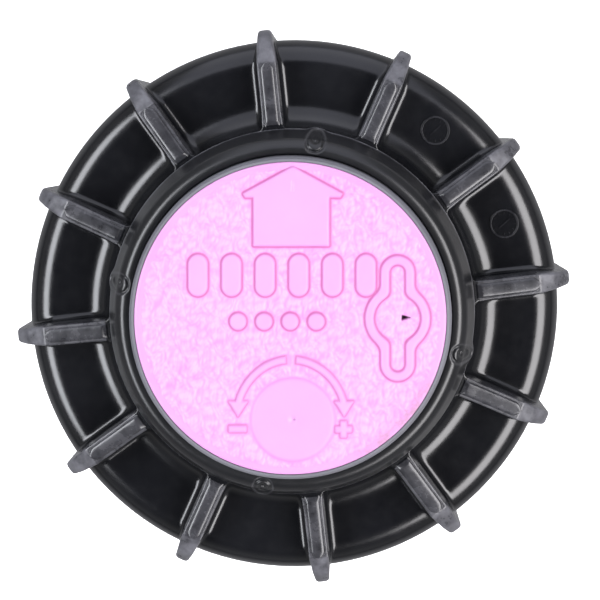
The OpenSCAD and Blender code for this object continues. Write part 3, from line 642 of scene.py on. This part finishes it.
def ring_mark(name, x, y, z, radius, thick, ticks):
    """A small raised moulding dial: a ring, short ticks and a pointer."""
    verts, faces = [], []
    root = 0.1  # how far the dial's foot reaches into the panel

    def bar(x0, y0, x1, y1, w):
        d = np.array([x1 - x0, y1 - y0])
        d = d / np.linalg.norm(d)
        n = np.array([-d[1], d[0]]) * w / 2
        s = len(verts)
        for px, py in ((x0, y0), (x1, y1)):
            for side, up in ((1, -root), (0.6, thick), (-0.6, thick), (-1, -root)):
                verts.append((x + px + n[0] * side, y + py + n[1] * side, z + up))
        faces.extend([(s, s + 1, s + 5, s + 4), (s + 1, s + 2, s + 6, s + 5), (s + 2, s + 3, s + 7, s + 6),
                      (s, s + 3, s + 2, s + 1), (s + 4, s + 5, s + 6, s + 7), (s + 3, s, s + 4, s + 7)])

    seg = 48
    prof = [(radius - 0.16, -root), (radius - 0.07, thick), (radius + 0.07, thick), (radius + 0.16, -root)]
    for k in range(seg):
        a = k * TAU / seg
        verts += [(x + pr * math.cos(a), y + pr * math.sin(a), z + pz) for pr, pz in prof]
    faces += grid_faces(seg, len(prof), True, True)
    for k in range(ticks):
        a = k * TAU / ticks
        bar(radius * 0.68 * math.cos(a), radius * 0.68 * math.sin(a),
            radius * 0.86 * math.cos(a), radius * 0.86 * math.sin(a), 0.08)
    bar(-0.35 * radius, -0.3 * radius, 0.4 * radius, 0.35 * radius, 0.14)
    finish_piece(paint(new_object(name, verts, faces, smooth=False), 0.13), "cap_plastic", "body")


for number, at in enumerate(((14.6, 18.1), (21.7, 8.5)), 1):
    ring_mark(f"cap_mould_dial_{number}", *at, PANEL_Z - 0.03, 1.4, 0.16, 12)

# ---------------------------------------------------------------- rubber cover

KEY_X = 10.7  # centre of the keyhole mark
DISC_AT = (0.25, -10.1)  # centre of the setting disc
ARC_AT = (0.08, -10.05)  # centre of the arrows around it

# Signed distances in the plane of the cover: negative inside the shape.


def sd_box(x, y, cx, cy, hx, hy, r=0.0):
    qx, qy = np.abs(x - cx) - hx + r, np.abs(y - cy) - hy + r
    return np.hypot(np.maximum(qx, 0), np.maximum(qy, 0)) + np.minimum(np.maximum(qx, qy), 0) - r


def sd_poly(x, y, pts):
    pts = np.array(pts, float)
    d = np.full(x.shape, 1e9)
    inside = np.zeros(x.shape, bool)
    for k in range(len(pts)):
        a, b = pts[k], pts[(k + 1) % len(pts)]
        e = b - a
        wx, wy = x - a[0], y - a[1]
        t = np.clip((wx * e[0] + wy * e[1]) / (e @ e), 0, 1)
        d = np.minimum(d, np.hypot(wx - e[0] * t, wy - e[1] * t))
        cross = (a[1] <= y) != (b[1] <= y)
        with np.errstate(divide="ignore", invalid="ignore"):
            xi = a[0] + (y - a[1]) / (b[1] - a[1]) * e[0]
        inside ^= cross & (x < xi)
    return np.where(inside, -d, d)


def sd_circle(x, y, cx, cy, r):
    return np.hypot(x - cx, y - cy) - r


def keyhole(x, y, grow):
    """A round hole with a slot through it, blended where they meet."""
    a = sd_circle(x, y, KEY_X, 0, 2.35 + grow)
    b = sd_box(x, y, KEY_X, 0, 0.8 + grow, 5.35 + grow, 0.8 + grow)
    h = np.clip(0.5 + (b - a) / 1.2, 0, 1)
    return b * (1 - h) + a * h - 0.6 * h * (1 - h)


def marks_distance(x, y):
    """Distance to the nearest raised mark, negative inside one."""
    # the house-shaped arrow toward the nozzle
    d = sd_poly(x, y, [(0.25, 15.05), (-4.6, 12.4), (-4.45, 12.15), (-3.6, 12.15), (-3.6, 7.3), (3.8, 7.3),
                       (3.8, 12.15), (4.95, 12.15), (5.1, 12.4)]) - 0.12
    ring = np.maximum(keyhole(x, y, 0.9), -keyhole(x, y, 0.0))
    d = np.minimum(d, ring)
    # two plain rows of pads
    for k in range(6):
        d = np.minimum(d, sd_box(x, y, -9.2 + 3.35 * k, 4.3, 1.0, 2.1, 1.0))
    for k in range(4):
        d = np.minimum(d, sd_circle(x, y, -5.2 + 2.6 * k, -0.3, 0.85))
    # the setting disc's curved arrows, minus and plus
    cx, cy = ARC_AT
    band = np.abs(np.hypot((x - cx) * 1.09, y - cy) - 5.95) - 0.34
    ang = np.degrees(np.arctan2(np.abs(x - cx), y - cy))
    band = np.maximum(band, np.maximum((5 - ang), (ang - 74)) * 0.1)
    d = np.minimum(d, band)
    for s in (-1, 1):
        d = np.minimum(d, sd_poly(x, y, [(cx + s * 4.4, cy + 1.75), (cx + s * 6.15, cy + 1.75),
                                         (cx + s * 5.3, cy + 0.35)]) - 0.06)
    d = np.minimum(d, sd_box(x, y, -5.25, -11.0, 0.9, 0.34, 0.12))
    for hx, hy in ((0.84, 0.32), (0.32, 0.84)):
        d = np.minimum(d, sd_box(x, y, 5.3, -11.05, hx, hy, 0.1))
    return d


def inside(d, soft):
    """1 well inside a shape, 0 well outside it, with a soft step between."""
    return 1 / (1 + np.exp(np.clip(d / soft, -40, 40)))


def pebbles(x, y, cell, seed):
    """Rounded bumps around jittered points: 1 on a bump's top, 0 between bumps."""
    g = np.random.default_rng(seed)
    n = int(40 / cell) + 4
    jx, jy, jr = g.random((n, n)), g.random((n, n)), g.random((n, n))
    ix, iy = np.floor((x + 20) / cell).astype(int), np.floor((y + 20) / cell).astype(int)
    best = np.full(x.shape, 9.0)
    for dx in (-1, 0, 1):
        for dy in (-1, 0, 1):
            kx, ky = np.clip(ix + dx, 0, n - 1), np.clip(iy + dy, 0, n - 1)
            px, py = (kx + jx[kx, ky]) * cell - 20, (ky + jy[kx, ky]) * cell - 20
            best = np.minimum(best, np.hypot(x - px, y - py) / cell + 0.25 * jr[kx, ky])
    return np.clip(1 - best * 1.25, 0, 1)


def store_relief(ob, colour):
    att = ob.data.color_attributes.new("relief", "FLOAT_COLOR", "POINT")
    att.data.foreach_set("color", np.asarray(colour, np.float32).ravel())
    return ob


def make_cover():
    """The cover's face as one fine height field, which stores for the material its marks, the painted shade along their
    edges, the grain that gets a painted highlight and the painted shade in its slit.
    """
    step = 0.1
    n = int(round(2 * COVER_R / step)) + 1
    axis = np.linspace(-COVER_R, COVER_R, n)
    gx, gy = np.meshgrid(axis, axis, indexing="ij")
    rr = np.hypot(gx, gy)
    flat_r = COVER_R - 0.32
    # squeeze the grid's outside points onto the rim circle so that the edge is smooth
    keep = rr <= flat_r + step * 0.75
    scale = np.where(rr > flat_r - step * 0.5, flat_r / np.maximum(rr, 1e-6), 1.0)
    near = (rr > flat_r - step * 0.5) & keep
    gx, gy = np.where(near, gx * scale, gx), np.where(near, gy * scale, gy)
    d_mark = marks_distance(gx, gy)
    d_disc = sd_circle(gx, gy, *DISC_AT, 4.1)
    d = np.minimum(d_mark, d_disc)
    in_disc = inside(d_disc, 0.09)
    rise = np.maximum(inside(d_mark, 0.055), 0.45 * in_disc)
    sway = 0.35 * np.sin(gy * 2.1 + 1.3 * np.sin(gx * 1.7)) + 0.2 * np.sin(gx * 3.7 + gy * 1.1)
    grain = 0.65 * pebbles((gx + sway) * 1.35, gy * 0.8, 0.7, 3) + 0.45 * pebbles(gx * 1.2, gy + sway, 0.42, 4)
    to_rim = flat_r - np.hypot(gx, gy)
    rim_fade = np.clip(to_rim / 0.5, 0, 1)
    field = np.clip((d - 0.12) / 0.25, 0, 1) * rim_fade
    z = FACE_Z + rise * MARK_H * 0.95 + grain * 0.2 * field
    # crown: the face bulges very slightly
    z += 0.12 * (1 - (np.hypot(gx, gy) / COVER_R) ** 2) - 0.12
    # dimple in the disc, wedge-shaped slit in the keyhole and screwdriver slit in the arrow
    z -= 0.22 * np.exp(-((gx - DISC_AT[0]) ** 2 + (gy - DISC_AT[1]) ** 2) / 0.09)
    wedge = np.clip(0.28 - 0.3 * (gx - 11.1), 0.03, 0.28)
    slit = np.clip(1.7 * np.exp(-((gy - 0.05) / wedge) ** 2) - 0.35, 0, 1) * (gx > 11.1) * (gx < 11.95)
    slit2 = 0.5 * np.exp(-((gx - 0.25) / 0.09) ** 2) * (np.abs(gy - 13.2) < 0.5)
    z -= 0.7 * slit + 0.25 * slit2
    idx = -np.ones(gx.shape, int)
    idx[keep] = np.arange(keep.sum())
    verts = np.stack([gx[keep], gy[keep], z[keep]], -1)
    q = keep[:-1, :-1] & keep[1:, :-1] & keep[1:, 1:] & keep[:-1, 1:]
    faces = np.stack([idx[:-1, :-1][q], idx[1:, :-1][q], idx[1:, 1:][q], idx[:-1, 1:][q]], -1)
    ob = new_object("cover_skin", verts, faces.tolist())
    faint = np.where(np.hypot(gx - 0.1, gy + 10.05) < 7.4, 0.55, 1.0)
    # painted shade: a darker line along the foot of each raised mark and round the disc, fainter round the disc's
    # arrows
    edge = np.maximum(faint * np.exp(-((d_mark - 0.08) / 0.11) ** 2), 0.3 * np.exp(-((d_disc - 0.05) / 0.12) ** 2))
    # a darker band along the rim, in the pits of the grain and strongest toward the lower right
    rim_darkening = np.exp(-np.clip(to_rim, 0, 9) / 0.35) * (1 - grain)
    edge = np.maximum(edge * rim_fade, 0.5 * rim_darkening * (gx * 0.5 - gy * 0.5 + 20) / 30)
    smooth_part = np.maximum(rise, in_disc)
    pit = np.exp(-(((gx - 0.4) / 0.16) ** 2 + ((gy + 10.1) / 0.08) ** 2))
    # alpha: painted shade inside the key slit and a small pit in the disc
    colour = np.stack([smooth_part, edge, grain * field, 1 - np.maximum(slit, 0.8 * pit)], -1)[keep]
    return store_relief(ob, colour)


finish_piece(make_cover(), "cover_rubber", "turret", "rubber_cover")
rim_out = COVER_R + 0.05
rim_profile = rounded([(0.5, FACE_Z - 2.4), (rim_out - 0.1, FACE_Z - 2.4, 0.1), (rim_out, FACE_Z - 0.1, 0.14),
                       (rim_out - 0.3, FACE_Z - 0.01), (COVER_R - 1.2, FACE_Z - 0.16)], 8)
rim = revolve("cover_rim", subdivide(rim_profile, 2.0), 360)
store_relief(rim, np.tile([0.7, 0, 0, 1], len(rim.data.vertices)))
finish_piece(rim, "cover_rubber", "turret")

bezel_profile = rounded([
    (RISER_R + 0.05, FACE_Z - 7.3), (BEZEL_R - 0.5, FACE_Z - 7.3, 0.4), (BEZEL_R, FACE_Z - 6.6, 0.3),
    (BEZEL_R, FACE_Z - 4.6, 0.1), (BEZEL_R - 0.22, FACE_Z - 4.45, 0.08), (BEZEL_R - 0.22, FACE_Z - 4.15, 0.08),
    (BEZEL_R, FACE_Z - 4.0, 0.1), (BEZEL_R, FACE_Z - 0.5, 0.25), (BEZEL_R - 0.25, FACE_Z - 0.08, 0.1),
    (15.62, FACE_Z - 0.06, 0.04), (15.62, FACE_Z - 2.5), (RISER_R + 0.05, FACE_Z - 2.6)], 6)
bezel = revolve("bezel_ring", subdivide(bezel_profile, 0.5), 320, closed=True)
finish_piece(bezel, "grey_plastic", "turret", "turret_bezel")

# ---------------------------------------------------------------- body

BOSS_R, TUBE_R, NECK_R = 15.4, 19.0, 24.4
INLET_R = 10.4
case_profile = subdivide(rounded([
    (INLET_R, 0.5, 0.2), (INLET_R + 0.5, 0, 0.2), (BOSS_R - 0.6, 0, 0.4), (BOSS_R, 0.6, 0.4), (BOSS_R, 15, 3),
    (TUBE_R - 1, 23, 3), (TUBE_R, 26, 2), (TUBE_R, 138, 4), (NECK_R + 1.2, 147, 2), (NECK_R + 1.2, 149.4, 0.4),
    (NECK_R, 149.55, 0.2), (NECK_R, 164.5, 0.3), (NECK_R - 0.6, 165.1, 0.2), (21.8, 165.1, 0.3), (21.8, 151),
    (17, 151, 0.4), (17, 22.9), (8, 22.9, 0.3), (8, 16, 0.3), (INLET_R, 16)], 5), 2.5)
finish_piece(revolve("case_shell", case_profile, 192, closed=True), "black_plastic", "body", "body_case")
gusset = [(BOSS_R - 2, 2), (BOSS_R + 1.6, 2), (TUBE_R + 0.4, 18), (TUBE_R + 0.4, 30), (TUBE_R - 2, 34),
          (BOSS_R - 2, 24)]
soil_rib = [(TUBE_R - 0.8, 34), (TUBE_R + 0.2, 34), (TUBE_R + 1, 36.5), (TUBE_R + 1, 131.5), (TUBE_R + 0.2, 134),
            (TUBE_R - 0.8, 134)]
for k in range(8):
    finish_piece(plate(f"case_gusset_{k + 1}", gusset, 1.6, k * 45, 0.35), "black_plastic", "body")
for k in range(4):
    finish_piece(plate(f"case_soil_rib_{k + 1}", soil_rib, 1.4, k * 90 + 45, 0.3), "black_plastic", "body")
# raised hoops left by the mould's joins
for k, z in enumerate((52, 86, 120)):
    finish_piece(revolve(f"case_hoop_{k + 1}", rounded([
        (TUBE_R - 0.3, z - 0.9), (TUBE_R + 0.22, z - 0.45, 0.3), (TUBE_R + 0.22, z + 0.45, 0.3),
        (TUBE_R - 0.3, z + 0.9)], 5), 160), "black_plastic", "body")
# the inlet's thread fades in and out over half a turn
TURNS, PITCH = 7.2, 1.814
turn = np.linspace(0, TURNS, 504)
grow = np.clip(np.minimum(turn, TURNS - turn) / 0.5, 0.05, 1)[:, None, None]
crest = np.array([(0.15, -0.8), (-0.3, -0.2), (-0.42, 0), (-0.3, 0.2), (0.15, 0.8)])[None] * grow
path = np.stack([INLET_R * np.cos(turn * TAU), INLET_R * np.sin(turn * TAU), 1.4 + turn * PITCH], -1)
finish_piece(sweep("case_inlet_thread", path, crest), "black_plastic", "body")

# ---------------------------------------------------------------- seal and springs

seal_z = float(seal_lo[2])
seal_profile = subdivide(rounded([
    (21.6, seal_z, 0.2), (21.6, seal_z + 3.3, 0.3), (18.4, seal_z + 3.3, 0.8), (17.4, seal_z + 4.5, 0.8),
    (15, seal_z + 6.8, 0.6), (13.62, seal_z + 7.3, 0.15), (13.58, seal_z + 6.5, 0.3), (14.6, seal_z + 5.3, 0.5),
    (15.4, seal_z + 3.5, 0.8), (14.8, seal_z + 1.9, 0.6), (13.58, seal_z + 0.7, 0.2), (13.62, seal_z, 0.2),
    (15, seal_z + 0.3, 0.3), (16, seal_z, 0.3), (18, seal_z)], 5), 0.8)
finish_piece(revolve("seal_lips", seal_profile, 192, closed=True), "seal_rubber", "body", "wiper_seal")



def add_spring(name, node, lo, hi, body, shape):
    """A coil in place of a CAD spring."""
    ob = coil(name, lo[2], hi[2], *shape)
    finish_piece(ob, "spring_steel", body, node)
    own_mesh(ob)


add_spring("retraction_coil", "retraction_spring", spring_lo, spring_hi, "body",
           (15.3, 1.3, 14, 48, 12))
add_spring("bypass_coil", "bypass_spring", bypass_lo, bypass_hi, "riser",
           (2.9, 0.4, 4, 36, 10))

# ---------------------------------------------------------------- riser and turret

riser_z, riser_top = float(riser_lo[2]), float(riser_hi[2])
grooves = [p for z in (riser_top - 4.2, riser_top - 3.2, riser_top - 2.2)
           for p in ((RISER_R, z - 0.25, 0.1), (RISER_R - 0.18, z - 0.1, 0.08), (RISER_R - 0.18, z + 0.1, 0.08),
                     (RISER_R, z + 0.25, 0.1))]
riser_profile = subdivide(rounded([
    (12.3, riser_z, 0.2), (15.2, riser_z, 0.2), (15.6, riser_z + 0.4, 0.2), (15.6, 29.8, 0.2), (RISER_R, 29.8, 0.3),
    *grooves, (RISER_R, riser_top - 0.3, 0.2), (RISER_R - 0.3, riser_top, 0.2), (12.3, riser_top, 0.1), (12.3, 147.5),
    (8.1, 147.5, 0.2), (8.1, 143, 0.2), (12.3, 143)], 4), 4)
finish_piece(revolve("riser_shell", riser_profile, 192, closed=True), "black_plastic", "riser", "riser_tube")

NOZZLE_Z, NOZZLE_R = 159.5, 4.5
TILT = math.radians(25)  # how steeply the nozzle throws
axis_dir = np.array([0, math.cos(TILT), math.sin(TILT)])
axis_from = np.array([0, 0, NOZZLE_Z])


def axis_distance(p):
    """How far points are from the nozzle's axis, and how far along it."""
    v = p - axis_from
    t = v @ axis_dir
    return np.linalg.norm(v - t[..., None] * axis_dir, axis=-1), t


def make_turret():
    """The turret's outer wall, open where the nozzle looks out, with shallow grip flutes on its back and sides."""
    z0, z1 = max(float(turret_lo[2]) + 0.2, 152.0), float(turret_hi[2])
    rows, cols = 96, 420
    a = np.arange(cols) * TAU / cols + math.pi / 2
    z = np.linspace(z0, z1, rows)
    aa, zz = np.meshgrid(a, z)
    off = np.abs((aa - math.pi / 2 + math.pi) % TAU - math.pi)
    fade = np.clip((off - 0.75) / 0.15, 0, 1)
    fade = fade * np.clip((zz - z0 - 1.6) / 1.2, 0, 1) * np.clip((z1 - 3.5 - zz) / 1.2, 0, 1)
    flute = 0.5 + 0.5 * np.cos(aa * 36)
    rr = RISER_R - 0.28 * fade * flute ** 2
    p = np.stack([rr * np.cos(aa), rr * np.sin(aa), zz], -1)
    d, t = axis_distance(p)
    front = t > 0
    # a shallow dish around the opening, whose edge is then pulled onto the nozzle's circle
    dish = np.clip((NOZZLE_R + 1.6 - d) / 1.6, 0, 1) * front
    p[..., :2] *= (1 - 0.05 * dish ** 2)[..., None]
    d, t = axis_distance(p)
    keep = ~(front & (d < NOZZLE_R - 0.1))
    near = front & keep & (d < NOZZLE_R + 0.16)
    foot = axis_from + t[..., None] * axis_dir
    p = np.where(near[..., None], foot + (p - foot) * (NOZZLE_R / np.maximum(d, 1e-6))[..., None], p)
    idx = -np.ones(keep.shape, int)
    idx[keep] = np.arange(keep.sum())
    nxt = np.roll(idx, -1, 1)
    quads = np.stack([idx[:-1], nxt[:-1], nxt[1:], idx[1:]], -1).reshape(-1, 4)
    quads = quads[(quads >= 0).all(1)]
    verts = p[keep].tolist()
    # floor plate and top plate
    faces = quads.tolist()
    for row, inner, z in ((0, 6.3, z0), (rows - 1, 1.0, z1)):
        ring = idx[row].tolist()
        start = len(verts)
        verts += [(inner * math.cos(b), inner * math.sin(b), z) for b in a]
        faces += [(ring[k], ring[(k + 1) % cols], start + (k + 1) % cols, start + k) for k in range(cols)]
    return new_object("turret_wall", verts, faces)


finish_piece(make_turret(), "black_plastic", "turret", "nozzle_turret")


def nozzle_ring(name, radius, lift, wire, segments=96):
    """A round lip that follows the turret's wall around the nozzle."""
    side = np.array([1.0, 0, 0])
    up = np.cross(side, axis_dir)
    sides = 10
    verts = []
    for k in range(segments):
        b = k * TAU / segments
        outward = math.cos(b) * side + math.sin(b) * up
        q = axis_from + radius * outward
        # move along the axis until the point stands on the wall
        ca, cb = axis_dir[0] ** 2 + axis_dir[1] ** 2, 2 * (q[0] * axis_dir[0] + q[1] * axis_dir[1])
        cc = q[0] ** 2 + q[1] ** 2 - (RISER_R + lift) ** 2
        t = (-cb + math.sqrt(cb * cb - 4 * ca * cc)) / (2 * ca)
        for j in range(sides):
            c = j * TAU / sides
            verts.append(q + t * axis_dir + wire * (math.cos(c) * outward + math.sin(c) * axis_dir))
    return new_object(name, verts, grid_faces(segments, sides, True, True))


finish_piece(nozzle_ring("nozzle_lip", NOZZLE_R - 0.25, -0.35, 0.3), "nozzle_plastic", "turret")
finish_piece(nozzle_ring("nozzle_mouth", 3.0, -0.3, 0.22), "nozzle_plastic", "turret")

# ---------------------------------------------------------------- stage


def area(name, loc, target, size, power, colour):
    """A rectangular lamp at loc that faces target, in metres and watts."""
    light = bpy.data.lights.new(name, "AREA")
    light.shape = "RECTANGLE"
    light.size, light.size_y = size
    light.energy = power
    light.color = colour
    ob = bpy.data.objects.new(name, light)
    bpy.context.scene.collection.objects.link(ob)
    ob.location = loc
    ob.rotation_euler = (Vector(target) - Vector(loc)).to_track_quat("-Z", "Y").to_euler()
    return ob


def softbox(name, azimuth, from_up, distance, size, radiance, colour=(1, 1, 1)):
    """A softbox aimed at the cover, placed by its direction, with its brightness given as radiance."""
    aim = Vector((0, 0, FACE_Z * MM))
    az, up = math.radians(azimuth), math.radians(from_up)
    at = aim + distance * Vector((math.sin(up) * math.cos(az), math.sin(up) * math.sin(az), math.cos(up)))
    return area(name, at, aim, size, radiance * math.pi * size[0] * size[1], colour)


def make_stage():
    """A pale floor, pale surroundings, three softboxes for the cap and two strips for the tall body."""
    bpy.ops.mesh.primitive_plane_add(size=12, location=(0, 0, 0))
    floor = bpy.context.object
    floor.name = "floor"
    m, nt, bsdf = material("floor_look")
    tc = add(nt, "ShaderNodeTexCoord")
    col = mix_rgb(nt, noise(nt, tc.outputs["Object"], 3, 4), (0.9, 0.9, 0.9), (0.93, 0.93, 0.93))
    # the floor looks white, yet throws little light back up onto the object
    path = add(nt, "ShaderNodeLightPath")
    seen = path.outputs["Is Camera Ray"]
    nt.links.new(mix_rgb(nt, seen, (0.3, 0.3, 0.3), col), bsdf.inputs["Base Color"])
    bsdf.inputs["Roughness"].default_value = 0.9
    bsdf.inputs["Specular IOR Level"].default_value = 0.1
    bsdf.inputs["Emission Color"].default_value = (1, 1, 1, 1)
    nt.links.new(math_node(nt, "MULTIPLY", seen, 0.75), bsdf.inputs["Emission Strength"])
    floor.data.materials.append(m)
    # the surroundings are pale at the horizon and dim overhead
    world = bpy.data.worlds.new("world")
    bpy.context.scene.world = world
    world.use_nodes = True
    nt = world.node_tree
    tc = add(nt, "ShaderNodeTexCoord")
    sep = add(nt, "ShaderNodeSeparateXYZ")
    nt.links.new(tc.outputs["Generated"], sep.inputs[0])
    glow = ramp(nt, sep.outputs[2], [(0.0, (0.32,)), (0.25, (0.25,)), (0.6, (0.04,)), (1.0, (0.02,))])
    back = nt.nodes["Background"]
    path = add(nt, "ShaderNodeLightPath")
    nt.links.new(mix_rgb(nt, path.outputs["Is Camera Ray"], glow, (0.78, 0.78, 0.79)), back.inputs["Color"])
    back.inputs["Strength"].default_value = 1.0
    softbox("left_softbox", 179, 44, 0.85, (0.95, 0.36), 8.6, (0.93, 0.95, 1))
    softbox("right_softbox", -16, 42, 0.85, (1.2, 0.48), 7.5, (1, 0.98, 1))
    softbox("back_softbox", 90, 62, 0.9, (1.0, 1.3), 0.95, (0.84, 0.86, 1))
    # two narrow strips bring out the round body below the cap, and light nothing else
    lower = bpy.data.collections.new("lower_pieces")
    for ob in bpy.data.objects:
        if ob.name.startswith(("case_", "riser_shell", "turret_wall", "bezel_ring")):
            lower.objects.link(ob)
    away, size = 0.7, (0.11, 0.5)
    for name, azimuth, radiance in (("front_left_strip", -132, 10.0), ("front_right_strip", -38, 8.0)):
        az = math.radians(azimuth)
        strip = area(name, (away * math.cos(az), away * math.sin(az), 0.17), (0, 0, 0.1), size,
                     radiance * math.pi * size[0] * size[1], (1, 1, 1))
        strip.light_linking.receiver_collection = lower


make_stage()

# ---------------------------------------------------------------- camera

# The view from above, in metres: the camera looks straight down from a little to one side, and its lens is shifted
# so that the cap stays in the middle.
CAM_HEIGHT = 0.280  # above the cover's face
LEAN_X, LEAN_Y = 0.0352, 0.133  # sideways offsets as parts of the height
FRAME_WIDTH = 0.0598  # what the frame spans at the cover's face
CENTRE_X, CENTRE_Y = 0.00097, 0.00183  # the point of the face in the frame's middle
SENSOR = 36
cam_data = bpy.data.cameras.new("camera")
cam = bpy.data.objects.new("camera", cam_data)
bpy.context.scene.collection.objects.link(cam)
cam.location = (LEAN_X * CAM_HEIGHT, LEAN_Y * CAM_HEIGHT, FACE_Z * MM + CAM_HEIGHT)
cam.rotation_euler = (0, 0, 0)
cam_data.sensor_width = SENSOR
cam_data.lens = SENSOR * CAM_HEIGHT / FRAME_WIDTH
cam_data.clip_start, cam_data.clip_end = 0.01, 20


def shift_driver(prop, value):
    """The lens shift holds only while the camera stands where the top view needs it."""
    drv = cam_data.driver_add(prop).driver
    drv.type = "SCRIPTED"
    var = drv.variables.new()
    var.name = "h"
    var.type = "SINGLE_PROP"
    var.targets[0].id_type = "OBJECT"
    var.targets[0].id = cam
    var.targets[0].data_path = "location[2]"
    drv.expression = f"{value:.6f} if abs(h - {cam.location.z:.6f}) < 0.0005 else 0"


shift_driver("shift_x", (CENTRE_X - cam.location.x) / FRAME_WIDTH)
shift_driver("shift_y", (CENTRE_Y - cam.location.y) / FRAME_WIDTH)
bpy.context.scene.camera = cam
bpy.context.scene.view_settings.view_transform = "Standard"
